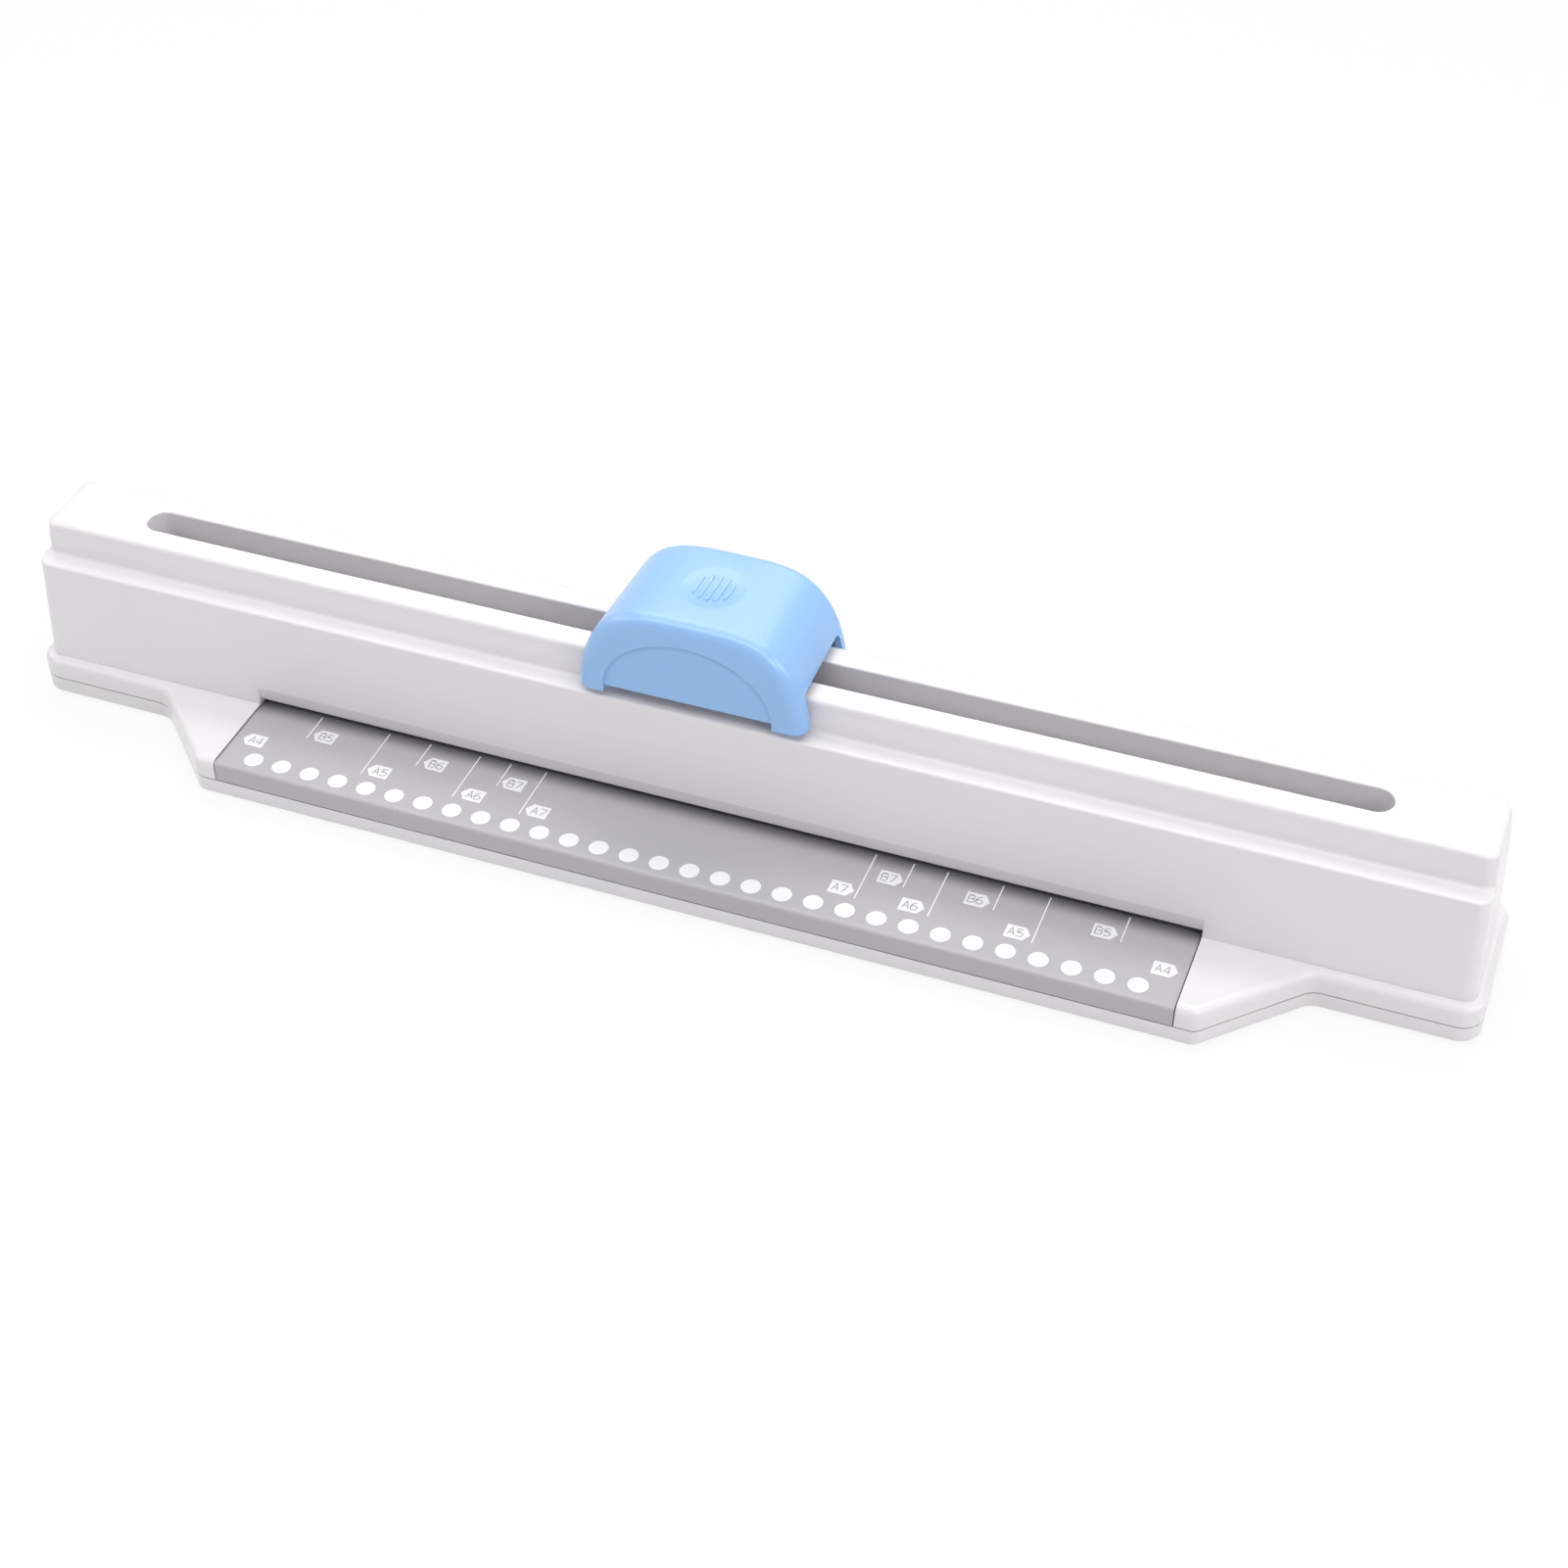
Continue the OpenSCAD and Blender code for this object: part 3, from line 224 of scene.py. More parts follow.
# edge rub and painted highlight: rays of the bevel, turn of the normal that counts as a corner, breaks in the
# rub
BEVEL_SAMPLES = 6
CORNER_RANGE = (0.02, 0.2)
BREAK_SCALE = 260.0
BREAK_DETAIL = 5.0
BREAK_RANGE = (0.35, 0.6)
BREAK_LEAST = 0.3


def rub_and_highlight_group():
    """Edge rub and painted highlight: a softened normal and a broken mask along the corners, over any colour;
    a lighter rub colour paints a highlight there.
    """
    tree, given, result = new_group(
        "edge_rub_and_highlight",
        [("Colour", "Color"), ("Rub Colour", "Color"), ("Radius", "Float"), ("Amount", "Float")],
        [("Colour", "Color"), ("Normal", "Vector")],
    )
    soft = add(tree, "ShaderNodeBevel", {"Radius": given["Radius"]}, samples=BEVEL_SAMPLES).outputs[0]
    along = add(tree, "ShaderNodeVectorMath", {0: soft, 1: face_normal(tree)}, operation="DOT_PRODUCT")
    corner = ranged(tree, maths(tree, "SUBTRACT", 1.0, along.outputs["Value"]), CORNER_RANGE)
    broken = ranged(tree, noise(tree, own_place(tree), BREAK_SCALE, BREAK_DETAIL), BREAK_RANGE,
                    (BREAK_LEAST, 1.0))
    mask = maths(tree, "MULTIPLY", maths(tree, "MULTIPLY", corner, broken), given["Amount"], True)
    feed(tree, result["Colour"], mixed(tree, mask, given["Colour"], given["Rub Colour"]))
    feed(tree, result["Normal"], soft)
    return tree


# settled dust: upward part of the normal that holds dust, patches of the film, roughness that it adds
DUST_COLOUR = (0.62, 0.60, 0.58, 1)
UP_RANGE = (0.6, 1.0)
FILM_SCALE = 90.0
FILM_DETAIL = 6.0
FILM_RANGE = (0.4, 0.7)
DUST_ROUGHNESS = 0.3


def dust_group():
    """Settled dust: a thin uneven film on faces that look up."""
    tree, given, result = new_group(
        "settled_dust",
        [("Colour", "Color"), ("Dust Colour", "Color"), ("Amount", "Float"), ("Roughness", "Float")],
        [("Colour", "Color"), ("Roughness", "Float")],
    )
    rise = add(tree, "ShaderNodeSeparateXYZ", {0: face_normal(tree)}).outputs["Z"]
    film = ranged(tree, noise(tree, own_place(tree), FILM_SCALE, FILM_DETAIL), FILM_RANGE)
    mask = maths(tree, "MULTIPLY", maths(tree, "MULTIPLY", ranged(tree, rise, UP_RANGE), film),
                 given["Amount"], True)
    rough = maths(tree, "ADD", given["Roughness"], maths(tree, "MULTIPLY", mask, DUST_ROUGHNESS), True)
    feed(tree, result["Colour"], mixed(tree, mask, given["Colour"], given["Dust Colour"]))
    feed(tree, result["Roughness"], rough)
    return tree


# drawn metal: streaks run at the stretched place's own scale; stains, and the streaks' share of the dullness
STREAK_SCALE = 1.0
STREAK_DETAIL = 4.0
STAIN_SCALE = 60.0
STAIN_DETAIL = 4.0
STAIN_RANGE = (0.45, 0.7)
STREAK_SHARE = 0.6


def brush_group():
    """Drawn metal: streaks along one direction in colour, gloss and height."""
    tree, given, result = new_group(
        "drawn_metal",
        [("Colour", "Color"), ("Shade", "Color"), ("Stretch", "Vector"), ("Rough Low", "Float"),
         ("Rough High", "Float")],
        [("Colour", "Color"), ("Roughness", "Float"), ("Height", "Float")],
    )
    place = own_place(tree)
    drawn = add(tree, "ShaderNodeVectorMath", {0: place, 1: given["Stretch"]}, operation="MULTIPLY")
    streak = noise(tree, drawn.outputs[0], STREAK_SCALE, STREAK_DETAIL)
    stain = ranged(tree, noise(tree, place, STAIN_SCALE, STAIN_DETAIL), STAIN_RANGE)
    dull = shared(tree, streak, stain, STREAK_SHARE)
    rough = ranged(tree, dull, GLOSS_RANGE, (given["Rough Low"], given["Rough High"]))
    feed(tree, result["Colour"], mixed(tree, dull, given["Colour"], given["Shade"]))
    feed(tree, result["Roughness"], rough)
    feed(tree, result["Height"], streak)
    return tree


# painted shade in narrow gaps: colour in their depth, rays that look for them, and how far a shut gap goes to
# that colour
PAINTED_SHADE_COLOUR = (0.02, 0.02, 0.022, 1)
SHADE_RAY_SAMPLES = 8
PAINTED_SHADE_MOST = 0.88


def shade_painter_group():
    """Painted shade: the colour darkened towards near black where ambient occlusion finds narrow gaps,
    parting lines and slits, and in front of overhangs.
    """
    tree, given, result = new_group(
        "painted_gap_shade",
        [("Colour", "Color"), ("Reach", "Float"), ("Shut", "Float"), ("Open", "Float")],
        [("Colour", "Color")],
    )
    around = add(tree, "ShaderNodeAmbientOcclusion", {"Distance": given["Reach"]}, samples=SHADE_RAY_SAMPLES)
    shade = ranged(tree, around.outputs["AO"], (given["Shut"], given["Open"]), (PAINTED_SHADE_MOST, 0.0))
    feed(tree, result["Colour"], mixed(tree, shade, given["Colour"], PAINTED_SHADE_COLOUR))
    return tree


GRAIN, RUB_AND_HIGHLIGHT, DUST, BRUSH, SHADE_PAINTER = grain_group(), rub_and_highlight_group(), dust_group(), brush_group(), shade_painter_group()

# finishes: height of the grain and of the drawn streaks, light that enters the plastic, rubbed steel
GRAIN_DEPTH = 0.1 * MM
STREAK_DEPTH = 0.05 * MM
GLOW_REACH = 1.2 * MM
GLOW_SPREAD = (0.6, 0.8, 1.0)
RUBBED_STEEL = (0.86, 0.86, 0.87, 1)


def new_material(name, colour):
    """Material with its shader; the plain colour shows in a flat view."""
    material = bpy.data.materials.new(name)
    material.use_nodes = True
    material.diffuse_color = colour
    tree = material.node_tree
    shader = next(n for n in tree.nodes if n.type == "BSDF_PRINCIPLED")
    return material, tree, shader


def cover(tree, shader, colour, roughness):
    """Colour and roughness of a shader, fed by the placed groups."""
    feed(tree, shader.inputs["Base Color"], colour)
    feed(tree, shader.inputs["Roughness"], roughness)


def roughen(tree, shader, strength, depth, height, normal):
    """Fine relief on a shader's surface, over the softened edges."""
    relief = {"Strength": strength, "Distance": depth, "Height": height, "Normal": normal}
    feed(tree, shader.inputs["Normal"], add(tree, "ShaderNodeBump", relief).outputs[0])


def moulded(name, colour, shade, rub_and_highlight_colour, rough, cloud=7.0, grain=1400.0, bump=0.03, edge=0.35 * MM,
            rub_and_highlight_amount=0.25, dust=0.02, specular=0.5, subsurface=0.0, painted_shade=(1.6 * MM, 0.12, 0.5)):
    """Moulded plastic or rubber with grain, edge rub and painted edge highlight, dust and painted shade in
    gaps (reach, shut and open share).
    """
    material, tree, shader = new_material(name, colour)
    skin = place_group(tree, GRAIN, Colour=colour, Shade=shade, Cloud_Scale=cloud, Grain_Scale=grain,
                       Rough_Low=rough[0], Rough_High=rough[1])
    # edge rub and painted highlight: the rub colour mixed in along the corners
    worn_and_highlit = place_group(tree, RUB_AND_HIGHLIGHT, Colour=skin["Colour"], Rub_Colour=rub_and_highlight_colour, Radius=edge, Amount=rub_and_highlight_amount)
    film = place_group(tree, DUST, Colour=worn_and_highlit["Colour"], Dust_Colour=DUST_COLOUR, Amount=dust,
                       Roughness=skin["Roughness"])
    # painted shade: the colour darkened where ambient occlusion finds gaps and overhangs
    shut = place_group(tree, SHADE_PAINTER, Colour=film["Colour"], Reach=painted_shade[0], Shut=painted_shade[1], Open=painted_shade[2])
    cover(tree, shader, shut["Colour"], film["Roughness"])
    roughen(tree, shader, bump, GRAIN_DEPTH, skin["Height"], worn_and_highlit["Normal"])
    shader.inputs["Specular IOR Level"].default_value = specular
    if subsurface:
        shader.inputs["Subsurface Weight"].default_value = subsurface
        shader.inputs["Subsurface Radius"].default_value = GLOW_SPREAD
        shader.inputs["Subsurface Scale"].default_value = GLOW_REACH
    return material


def metal(name, colour, shade, stretch, rough, bump=0.05, edge=0.15 * MM, rub_and_highlight_amount=0.4):
    """Steel with drawn streaks and brighter rubbed edges."""
    material, tree, shader = new_material(name, colour)
    skin = place_group(tree, BRUSH, Colour=colour, Shade=shade, Stretch=stretch,
                       Rough_Low=rough[0], Rough_High=rough[1])
    worn_and_highlit = place_group(tree, RUB_AND_HIGHLIGHT, Colour=skin["Colour"], Rub_Colour=RUBBED_STEEL, Radius=edge, Amount=rub_and_highlight_amount)
    cover(tree, shader, worn_and_highlit["Colour"], skin["Roughness"])
    roughen(tree, shader, bump, STREAK_DEPTH, skin["Height"], worn_and_highlit["Normal"])
    shader.inputs["Metallic"].default_value = 1.0
    return material


# what the two white mouldings share; the lighter rub colour paints a highlight along the edges, and the gap
# setting paints shade in the parting lines
WHITE_SURFACE = {"rub_and_highlight_colour": (0.86, 0.84, 0.86, 1), "rough": (0.19, 0.25), "bump": 0.015, "edge": 0.25 * MM}
white_shell = moulded("white_shell", (0.80, 0.775, 0.80, 1), (0.775, 0.75, 0.775, 1), **WHITE_SURFACE)
white_base = moulded("white_base", (0.79, 0.77, 0.79, 1), (0.765, 0.745, 0.765, 1), cloud=9.0, **WHITE_SURFACE)

# the lighter rub colour paints a highlight along the table's edges and front bend; the long gap reach paints
# shade on the table in front of the throat
grey_table = moulded("grey_table", (0.465, 0.45, 0.48, 1), (0.445, 0.43, 0.46, 1), (0.66, 0.65, 0.67, 1),
                     rough=(0.26, 0.36), grain=2600.0, bump=0.04, rub_and_highlight_amount=0.8, edge=0.4 * MM,
                     painted_shade=(7.0 * MM, 0.45, 0.92))
# the light blue rub colour paints highlight lines along the cap's edges and ribs; the short gap reach paints
# shade in its recesses
blue_cap = moulded("blue_cap", (0.295, 0.53, 0.885, 1), (0.28, 0.51, 0.865, 1), (0.50, 0.76, 0.98, 1),
                   rough=(0.22, 0.28), grain=1800.0, bump=0.012, rub_and_highlight_amount=0.9, dust=0.0,
                   specular=0.7, subsurface=0.12, painted_shade=(0.4 * MM, 0.05, 0.35))
dark_nylon = moulded("dark_nylon", (0.035, 0.036, 0.04, 1), (0.028, 0.029, 0.032, 1), (0.10, 0.10, 0.11, 1),
                     rough=(0.42, 0.55), bump=0.08)
black_rubber = moulded("black_rubber", (0.022, 0.022, 0.024, 1), (0.03, 0.03, 0.032, 1),
                       (0.06, 0.06, 0.06, 1), rough=(0.7, 0.85), bump=0.15, dust=0.2)

# steel stock: plates and rods are drawn along the body, pins along their stroke
PLATE_STRETCH = (40, 900, 900)
ROD_STRETCH = (30, 1500, 1500)
PIN_STRETCH = (1600, 1600, 120)
SCREW_STRETCH = (700, 700, 700)
COIL_STRETCH = (500, 500, 500)
plate_steel = metal("plate_steel", (0.62, 0.62, 0.63, 1), (0.48, 0.48, 0.50, 1), PLATE_STRETCH, (0.28, 0.45))
dark_steel = metal("dark_steel", (0.085, 0.083, 0.085, 1), (0.06, 0.058, 0.06, 1), PLATE_STRETCH, (0.45, 0.6),
                   rub_and_highlight_amount=0.15)
rod_steel = metal("rod_steel", (0.66, 0.66, 0.67, 1), (0.55, 0.55, 0.57, 1), ROD_STRETCH, (0.12, 0.25))
pin_steel = metal("pin_steel", (0.60, 0.60, 0.61, 1), (0.50, 0.50, 0.52, 1), PIN_STRETCH, (0.15, 0.3))
screw_steel = metal("screw_steel", (0.52, 0.52, 0.54, 1), (0.40, 0.40, 0.42, 1), SCREW_STRETCH, (0.3, 0.5))
spring_steel = metal("spring_steel", (0.55, 0.55, 0.56, 1), (0.44, 0.44, 0.46, 1), COIL_STRETCH, (0.22, 0.38))

# what the two printing inks share
INK_WEAR = {"rough": (0.4, 0.5), "grain": 3000.0, "bump": 0.04, "rub_and_highlight_amount": 0.0, "edge": 0.02 * MM}
print_white = moulded("print_white", (0.86, 0.85, 0.86, 1), (0.83, 0.82, 0.83, 1), (0.86, 0.85, 0.86, 1),
                      **INK_WEAR)
print_grey = moulded("print_grey", (0.35, 0.34, 0.36, 1), (0.33, 0.32, 0.34, 1), (0.37, 0.36, 0.38, 1),
                     **INK_WEAR)

FINISHES = {
    "top_housing": white_shell, "base_frame": white_base, "chip_tray": white_base,
    "paper_table": grey_table, "slider_cap": blue_cap, "presser_bar": dark_nylon,
    "slide_carriage": dark_nylon, "guide_posts": rod_steel, "handle_springs": spring_steel,
    "cross_pins": rod_steel, "guide_rods": rod_steel, "end_brackets": plate_steel,
    "bracket_screws": screw_steel, "rail_bumpers": black_rubber, "die_plate": plate_steel,
    "spacer_frame": dark_steel, "guide_channel": dark_steel, "unit_screws": screw_steel,
    "pin_springs": spring_steel, "housing_screws": screw_steel, "table_screws": screw_steel,
    "rubber_feet": black_rubber,
}


def finish_solids():
    """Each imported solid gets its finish; every solid that isn't listed is a punch pin."""
    for name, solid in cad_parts.items():
        finish = FINISHES.get(name, pin_steel)
        if solid.material_slots:
            for place in solid.material_slots:
                place.material = finish
        else:
            solid.data.materials.append(finish)


# mesh helpers
ARC_STEPS = 10
# least cosine that a ribbon's corner is stretched by
MITRE_LEAST = 0.35


def mesh_of(work, name):
    """Mesh from a mesh under way, with its faces turned outwards."""
    bmesh.ops.recalc_face_normals(work, faces=work.faces)
    mesh = bpy.data.meshes.new(name)
    work.to_mesh(mesh)
    work.free()
    return mesh


def new_piece(name, mesh, finish, body):
    """Object for a mesh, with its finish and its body."""
    mesh.materials.append(finish)
    piece = bpy.data.objects.new(name, mesh)
    put_in_scene(piece)
    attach(piece, body)
    return piece


def slab(work, outline, z, thickness):
    """Thin prism over an outline, added to a mesh under way."""
    lower = [work.verts.new((x, y, z)) for x, y in outline]
    upper = [work.verts.new((x, y, z + thickness)) for x, y in outline]
    work.faces.new(list(reversed(lower)))
    work.faces.new(upper)
    count = len(outline)
    for i in range(count):
        work.faces.new((lower[i], lower[(i + 1) % count], upper[(i + 1) % count], upper[i]))


def arc(cx, cy, rx, ry, start, stop, steps=ARC_STEPS):
    """Points along part of an ellipse, its ends given in degrees."""
    turns = [math.radians(start + (stop - start) * k / steps) for k in range(steps + 1)]
    return [(cx + rx * math.cos(turn), cy + ry * math.sin(turn)) for turn in turns]


def across(way):
    """Direction at right angles to a plan direction."""
    return Vector((-way.y, way.x))


def ribbon(work, points, width, z, thickness):
    """Thin band of even width along a run of points."""
    path = [Vector(p) for p in points]
    left, right = [], []
    for i, point in enumerate(path):
        before = (point - path[i - 1]).normalized() if i else None
        after = (path[i + 1] - point).normalized() if i + 1 < len(path) else None
        side = across(((before or after) + (after or before)).normalized())
        reach = width / 2 / max(MITRE_LEAST, abs(side.dot(across(after or before))))
        left.append(point + side * reach)
        right.append(point - side * reach)
    for i in range(len(path) - 1):
        slab(work, [left[i], right[i], right[i + 1], left[i + 1]], z, thickness)


# moulded skins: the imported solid's surface with its facets shaded as one smooth skin
CREASE = math.radians(24)
WELD = 0.001 * MM
EVEN_WEIGHT = 100
# wall of the lower shell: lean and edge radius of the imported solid, and the upright wall's edge radius
SHELL_LEAN = 0.9 * MM
SHELL_EDGE_R = 1.0 * MM
UPRIGHT_EDGE_R = 0.6 * MM
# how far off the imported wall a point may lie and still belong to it, and the rise of a level face's normal
WALL_FIT = 0.15 * MM
LEVEL_RISE = 0.9
TINY_LENGTH_SQUARED = 1e-18


def rim_loop(work, rim_z):
    """Outer run of edges round the top of a shell, as pairs of plan points."""
    links = {}
    for edge in work.edges:
        if all(abs(v.co.z - rim_z) < WELD for v in edge.verts) and len(edge.link_faces) == 2:
            if sum(abs(face.normal.z) > LEVEL_RISE for face in edge.link_faces) == 1:
                for vert in edge.verts:
                    links.setdefault(vert, []).append(edge)
    start = max(links, key=lambda vert: vert.co.x)
    seen, ahead, pairs = set(), [start], []
    while ahead:
        vert = ahead.pop()
        for edge in links[vert]:
            if edge not in seen:
                seen.add(edge)
                pairs.append([Vector(v.co.xy) for v in edge.verts])
                ahead.append(edge.other_vert(vert))
    return pairs


def nearest_on(pairs, point):
    """Nearest plan point on a run of edges."""
    best = None
    for start, end in pairs:
        along = end - start
        share = (point - start).dot(along) / max(along.length_squared, TINY_LENGTH_SQUARED)
        spot = start + max(0.0, min(1.0, share)) * along
        if best is None or (spot - point).length < (best - point).length:
            best = spot
    return best


def wall_insets(rise, height):
    """How far in from the rim the wall stands at a rise: as packed, and upright with its small edge."""
    if rise < SHELL_EDGE_R:
        turn = math.acos(max(-1.0, min(1.0, 1 - rise / SHELL_EDGE_R)))
        rounding = 1 - math.sin(turn)
        return SHELL_LEAN + SHELL_EDGE_R * rounding, UPRIGHT_EDGE_R * rounding
    return SHELL_LEAN * (height - rise) / (height - SHELL_EDGE_R), 0.0


def stand_wall_up(work):
    """The lower shell's outer wall stands upright down to a small rounded edge, as in the photograph."""
    low_z = min(vert.co.z for vert in work.verts)
    rim_z = max(vert.co.z for vert in work.verts if vert.co.x > tray_high.x - WELD)
    pairs = rim_loop(work, rim_z)
    for vert in work.verts:
        if vert.co.z > rim_z - WELD:
            continue
        rim = nearest_on(pairs, vert.co.xy)
        inward = vert.co.xy - rim
        rise = vert.co.z - low_z
        packed, upright = wall_insets(rise, rim_z - low_z)
        if abs(inward.length - packed) > WALL_FIT or inward.length < WELD:
            continue
        vert.co.xy = rim + inward.normalized() * upright
        if rise <= SHELL_EDGE_R + WELD:
            vert.co.z = low_z + rise * UPRIGHT_EDGE_R / SHELL_EDGE_R


def make_skin(node, finish, body, reshape=None):
    """Smooth-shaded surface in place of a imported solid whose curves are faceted."""
    work = bmesh.new()
    work.from_mesh(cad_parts[node].data)
    bmesh.ops.remove_doubles(work, verts=work.verts, dist=WELD)
    if reshape:
        reshape(work)
    for face in work.faces:
        face.smooth = True
        face.material_index = 0
    for edge in work.edges:
        edge.smooth = len(edge.link_faces) == 2 and edge.calc_face_angle() < CREASE
    mesh = mesh_of(work, f"{node}_skin")
    if "custom_normal" in mesh.attributes:
        mesh.attributes.remove(mesh.attributes["custom_normal"])
    piece = new_piece(f"{node}_skin", mesh, finish, body)
    even = piece.modifiers.new("even_normals", "WEIGHTED_NORMAL")
    even.keep_sharp = True
    even.weight = EVEN_WEIGHT
    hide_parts(node)


# printed marks on the paper table
INK_T = 0.03 * MM
DOT_R = 2.95 * MM
DOT_SEGMENTS = 40
DOT_ROW_IN = 5.5 * MM
LINE_W = 0.42 * MM
LINE_BACK_Y = hole_row_y - 20.0 * MM
FLAG_BODY = 5.6 * MM
FLAG_TIP = 1.75 * MM
FLAG_H = 5.25 * MM
LETTER_H = 2.9 * MM
LETTER_W = 1.9 * MM
LETTER_GAP = 0.5 * MM
STROKE_W = 0.28 * MM
# how far the print lies off the middle, and the letters off the flag's middle towards its tip
DOT_SHIFT_X = -0.4 * MM
LINE_SHIFT_X = 0.2 * MM
FLAG_SHIFT_X = 0.15 * MM
LETTER_SHIFT = 0.25 * MM
# paper size: half length of the sheet's edge and middle of its flag in mm, as printed, and row of its flag
PAPER_SIZES = {
    "A4": (None, 142.7, "front"), "A5": (105.0, 100.3, "front"), "A6": (74.4, 69.1, "front"),
    "A7": (52.5, 47.9, "front"), "B5": (128.2, 123.2, "back"), "B6": (91.0, 85.8, "back"),
    "B7": (64.1, 59.7, "back"),
}
ROW_Y = {"front": -23.6 * MM, "back": -14.95 * MM}
LINE_FRONT_Y = {"front": -26.3 * MM, "back": -17.3 * MM}

# strokes of each letter and digit on a square of side 1
GLYPHS = {
    "A": [[(0, 0), (0.5, 1), (1, 0)], [(0.18, 0.34), (0.82, 0.34)]],
    "B": [[(0, 0), (0, 1), (0.6, 1)] + arc(0.6, 0.76, 0.34, 0.24, 90, -90) + [(0, 0.52)],
          [(0.6, 0.52)] + arc(0.62, 0.26, 0.38, 0.26, 90, -90) + [(0, 0)]],
    "4": [[(0.74, 0), (0.74, 1), (0, 0.28), (1, 0.28)]],
    "5": [[(0.92, 1), (0.12, 1), (0.06, 0.56), (0.5, 0.62)] + arc(0.5, 0.31, 0.5, 0.31, 90, -90)
          + [(0.04, 0.02)]],
    "6": [[(0.8, 1)] + arc(0.62, 0.36, 0.62, 0.62, 110, 180)
          + arc(0.5, 0.3, 0.5, 0.3, 180, 540, 2 * ARC_STEPS)],
    "7": [[(0, 1), (1, 1), (0.36, 0)]],
}


def print_line(ink, x, front_y):
    """Line at a sheet's edge."""
    left, right = x - LINE_W / 2, x + LINE_W / 2
    outline = [(left, front_y), (right, front_y), (right, LINE_BACK_Y), (left, LINE_BACK_Y)]
    slab(ink, outline, table_high.z, INK_T)


def print_flag(ink, tail, side, y):
    """Flag with its tip turned outwards, from its flat end."""
    neck = tail + side * FLAG_BODY
    low_y, high_y = y - FLAG_H / 2, y + FLAG_H / 2
    outline = [(tail, low_y), (neck, low_y), (neck + side * FLAG_TIP, y), (neck, high_y), (tail, high_y)]
    slab(ink, outline, table_high.z, INK_T)


def print_letters(letters, text, start, y):
    """Letters of a sheet size on top of a flag's ink."""
    for k, letter in enumerate(text):
        left = start + k * (LETTER_W + LETTER_GAP)
        for stroke in GLYPHS[letter]:
            points = [(left + px * LETTER_W, y + (py - 0.5) * LETTER_H) for px, py in stroke]
            ribbon(letters, points, STROKE_W, table_high.z + INK_T, INK_T)


def make_print():
    """Dots over the holes, sheet-edge lines and flags with the sheet sizes."""
    ink, letters = bmesh.new(), bmesh.new()
    dot_y = table_low.y + DOT_ROW_IN
    for x in hole_xs:
        round_dot = arc(x + DOT_SHIFT_X, dot_y, DOT_R, DOT_R, 0, 360, DOT_SEGMENTS)[:-1]
        slab(ink, round_dot, table_high.z, INK_T)
    for size, (edge, middle, row) in PAPER_SIZES.items():
        for side in (-1, 1):
            if edge:
                print_line(ink, side * edge * MM + LINE_SHIFT_X, LINE_FRONT_Y[row])
            tail = side * middle * MM + FLAG_SHIFT_X - side * (FLAG_BODY + FLAG_TIP) / 2
            print_flag(ink, tail, side, ROW_Y[row])
            flag_middle = tail + side * FLAG_BODY / 2
            start = flag_middle - LETTER_W - LETTER_GAP / 2 + side * LETTER_SHIFT
            print_letters(letters, size, start, ROW_Y[row])
    new_piece("table_marks", mesh_of(ink, "table_marks"), print_white, "frame")
    new_piece("size_letters", mesh_of(letters, "size_letters"), print_grey, "frame")


# coil springs in place of the imported sleeves
CAP_WIRE = 0.6 * MM
CAP_TURNS = 2.75
CAP_STEPS_PER_TURN = 20
CAP_WIRE_SIDES = 8
PIN_WIRE = 0.45 * MM
PIN_TURNS = 5.0
PIN_STEPS_PER_TURN = 16
PIN_WIRE_SIDES = 6
# share of the rise that eases in and out, which closes the end turns
EASE_SHARE = 0.35


def coil(name, foot, high_z, radius, wire, turns, per_turn, sides):
    """Round wire wound into a spring with closed ends, upwards from its foot."""
    work = bmesh.new()
    steps = int(turns * per_turn)
    rise = high_z - foot.z - wire
    rings = []
    for k in range(steps + 1):
        t = k / steps
        turn = 2 * math.pi * turns * t
        ease = (1 - math.cos(math.pi * t)) / 2
        out = Vector((math.cos(turn), math.sin(turn), 0))
        up = Vector((0, 0, wire / 2 + rise * (EASE_SHARE * ease + (1 - EASE_SHARE) * t)))
        middle = foot + up + out * radius
        ring = [math.cos(a) * out + Vector((0, 0, math.sin(a)))
                for a in (2 * math.pi * s / sides for s in range(sides))]
        rings.append([work.verts.new(middle + wire / 2 * spot) for spot in ring])
    for lower, upper in zip(rings, rings[1:]):
        for s in range(sides):
            face = work.faces.new((lower[s], lower[(s + 1) % sides], upper[(s + 1) % sides], upper[s]))
            face.smooth = True
    work.faces.new(list(reversed(rings[0])))
    work.faces.new(rings[-1])
    return mesh_of(work, name)


def make_cap_springs():
    """Two springs of the cap, which ride on the carriage."""
    low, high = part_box("handle_springs")
    middle_y = (low.y + high.y) / 2
    outer = (high.y - low.y) / 2
    for side, x in (("left", low.x + outer), ("right", high.x - outer)):
        name = f"cap_spring_{side}"
        wound = coil(name, Vector((x, middle_y, low.z)), high.z, outer - CAP_WIRE / 2, CAP_WIRE, CAP_TURNS,
                     CAP_STEPS_PER_TURN, CAP_WIRE_SIDES)
        piece = new_piece(name, wound, spring_steel, "carriage")
        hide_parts("handle_springs")
        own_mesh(piece)


def make_pin_springs():
    """A spring on every pin, fixed to the frame."""
    low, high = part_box("pin_springs")
    outer = (high.y - low.y) / 2
    for i, x in enumerate(hole_xs, 1):
        name = f"pin_spring_{i:02d}"
        wound = coil(name, Vector((x, hole_row_y, low.z)), high.z, outer - PIN_WIRE / 2, PIN_WIRE, PIN_TURNS,
                     PIN_STEPS_PER_TURN, PIN_WIRE_SIDES)
        piece = new_piece(name, wound, spring_steel, "frame")
        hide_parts("pin_springs")
        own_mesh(piece)


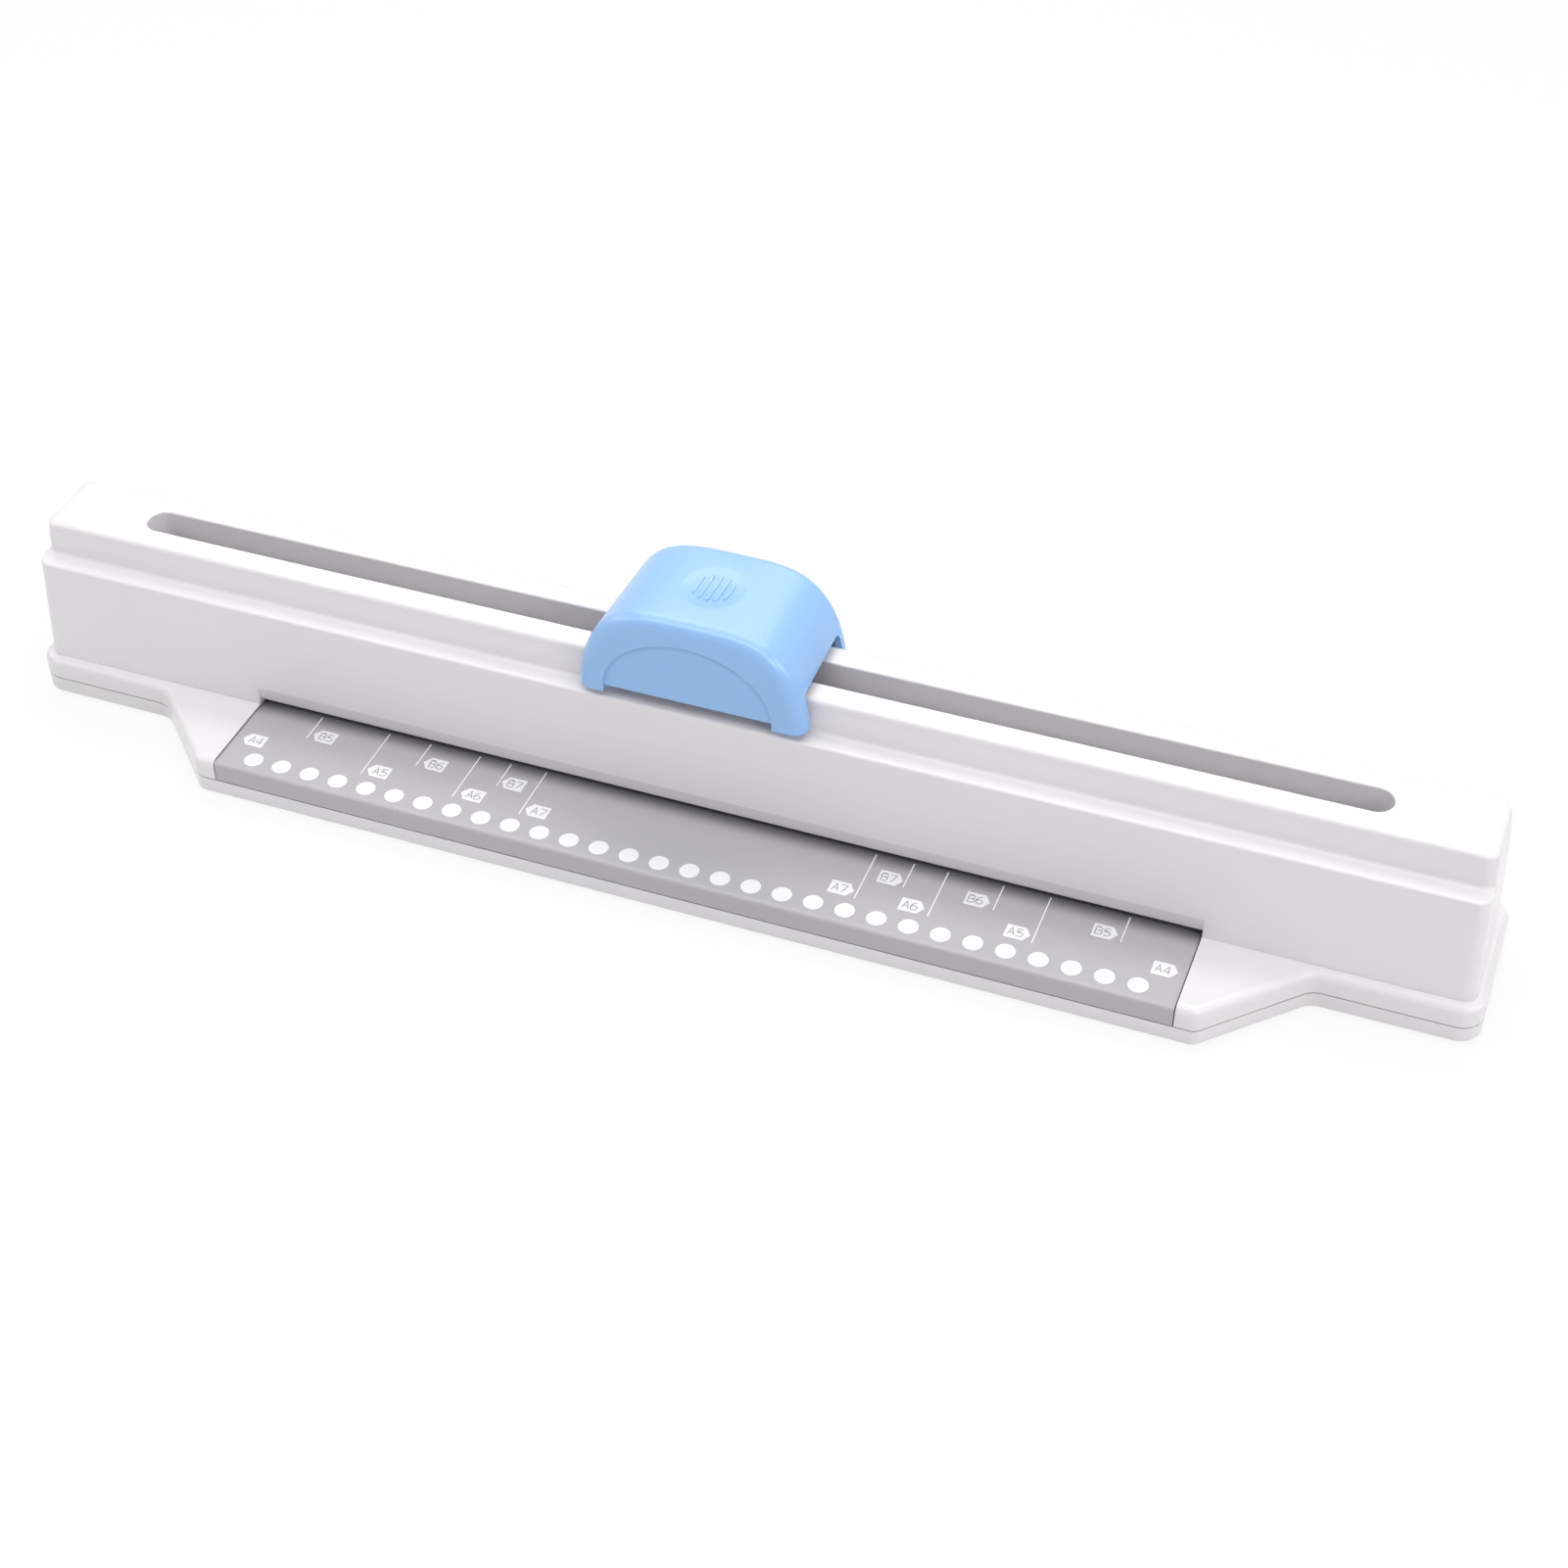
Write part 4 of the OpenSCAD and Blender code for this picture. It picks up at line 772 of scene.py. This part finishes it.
# room: half width of the floor, gap under the feet, colours, and strengths of the light from all round
FLOOR_HALF = 4.0
FLOOR_CELLS = 8
FLOOR_GAP = 0.02 * MM
FLOOR_COLOUR = (0.82, 0.82, 0.82, 1)
WHITE = (1, 1, 1, 1)
FLOOR_GLOW_SHARE = 0.86
FLOOR_GLOW = 1.0
ROOM_LIGHT = 0.175
ROOM_SEEN = 1.0


def looked_at(tree):
    """1 where a ray comes from the camera, a reflection or through glass, and 0 where it carries light."""
    paths = add(tree, "ShaderNodeLightPath").outputs
    direct = maths(tree, "MAXIMUM", paths["Is Camera Ray"], paths["Is Glossy Ray"])
    return maths(tree, "MAXIMUM", direct, paths["Is Transmission Ray"])


def floor_cloth():
    """Pale cloth that glows towards the camera, so that it meets a white background."""
    material = bpy.data.materials.new("studio_floor")
    material.use_nodes = True
    tree = material.node_tree
    tree.nodes.clear()
    cloth = add(tree, "ShaderNodeBsdfDiffuse", {"Color": FLOOR_COLOUR}).outputs[0]
    glow = add(tree, "ShaderNodeEmission", {"Color": WHITE, "Strength": FLOOR_GLOW}).outputs[0]
    share = maths(tree, "MULTIPLY", looked_at(tree), FLOOR_GLOW_SHARE)
    blend = add(tree, "ShaderNodeMixShader", {0: share, 1: cloth, 2: glow}).outputs[0]
    add(tree, "ShaderNodeOutputMaterial", {0: blend})
    return material


def make_floor():
    """Pale floor that keeps a soft shadow."""
    work = bmesh.new()
    level = cad_low.z - FLOOR_GAP
    marks = [FLOOR_HALF * (2 * i / FLOOR_CELLS - 1) for i in range(FLOOR_CELLS + 1)]
    grid = [[work.verts.new((x, y, level)) for y in marks] for x in marks]
    for i in range(FLOOR_CELLS):
        for j in range(FLOOR_CELLS):
            work.faces.new((grid[i][j], grid[i + 1][j], grid[i + 1][j + 1], grid[i][j + 1]))
    mesh = mesh_of(work, "studio_floor")
    mesh.materials.append(floor_cloth())
    floor = bpy.data.objects.new("studio_floor", mesh)
    put_in_scene(floor)


def make_world():
    """Even light from all round, plain white where it is looked at."""
    world = bpy.data.worlds.new("studio_world")
    bpy.context.scene.world = world
    world.use_nodes = True
    tree = world.node_tree
    tree.nodes.clear()
    strength = ranged(tree, looked_at(tree), (0.0, 1.0), (ROOM_LIGHT, ROOM_SEEN))
    sky = add(tree, "ShaderNodeBackground", {"Color": WHITE, "Strength": strength}).outputs[0]
    add(tree, "ShaderNodeOutputWorld", {0: sky})


# softboxes: place, point aimed at and size in metres, power in watts
BODY_MIDDLE = (0, 0, 0.03)
SOFTBOXES = {
    "rear_low_box": ((-0.15, 0.95, 1.0), BODY_MIDDLE, (1.6, 0.45), 4.6),
    "rear_top_box": ((0, 0.5, 1.2), BODY_MIDDLE, (1.6, 0.35), 5.8),
    "top_box": ((0, 0, 1.3), BODY_MIDDLE, (1.6, 0.4), 3.5),
    "front_top_box": ((0, -0.6, 1.15), BODY_MIDDLE, (1.6, 0.35), 6.5),
    "right_box": ((1.3, 0.1, 0.6), (0.1, 0, 0.03), (0.5, 0.5), 3.5),
    "front_right_box": ((1.1, -0.75, 0.75), (0.05, 0, 0.03), (0.5, 0.5), 3.9),
    "left_box": ((-1.3, -0.1, 0.7), (-0.1, 0, 0.03), (0.5, 0.5), 2.7),
    "front_left_box": ((-1.1, -0.75, 0.75), (-0.05, 0, 0.03), (0.5, 0.5), 1.6),
}


def make_lamps():
    """Softboxes round the object, as in a product studio."""
    for name, (place, aim, size, watts) in SOFTBOXES.items():
        lamp = bpy.data.lights.new(name, "AREA")
        lamp.shape = "RECTANGLE"
        lamp.size, lamp.size_y = size
        lamp.energy = watts
        holder = bpy.data.objects.new(name, lamp)
        holder.location = place
        holder.rotation_mode = "QUATERNION"
        holder.rotation_quaternion = (Vector(aim) - Vector(place)).to_track_quat("-Z", "Y")
        put_in_scene(holder)


scene = bpy.context.scene
scene.view_settings.view_transform = "Standard"
place_camera()
finish_solids()
make_skin("slider_cap", blue_cap, "handle")
make_skin("chip_tray", white_base, "tray", stand_wall_up)
make_print()
make_cap_springs()
make_pin_springs()
make_floor()
make_world()
make_lamps()
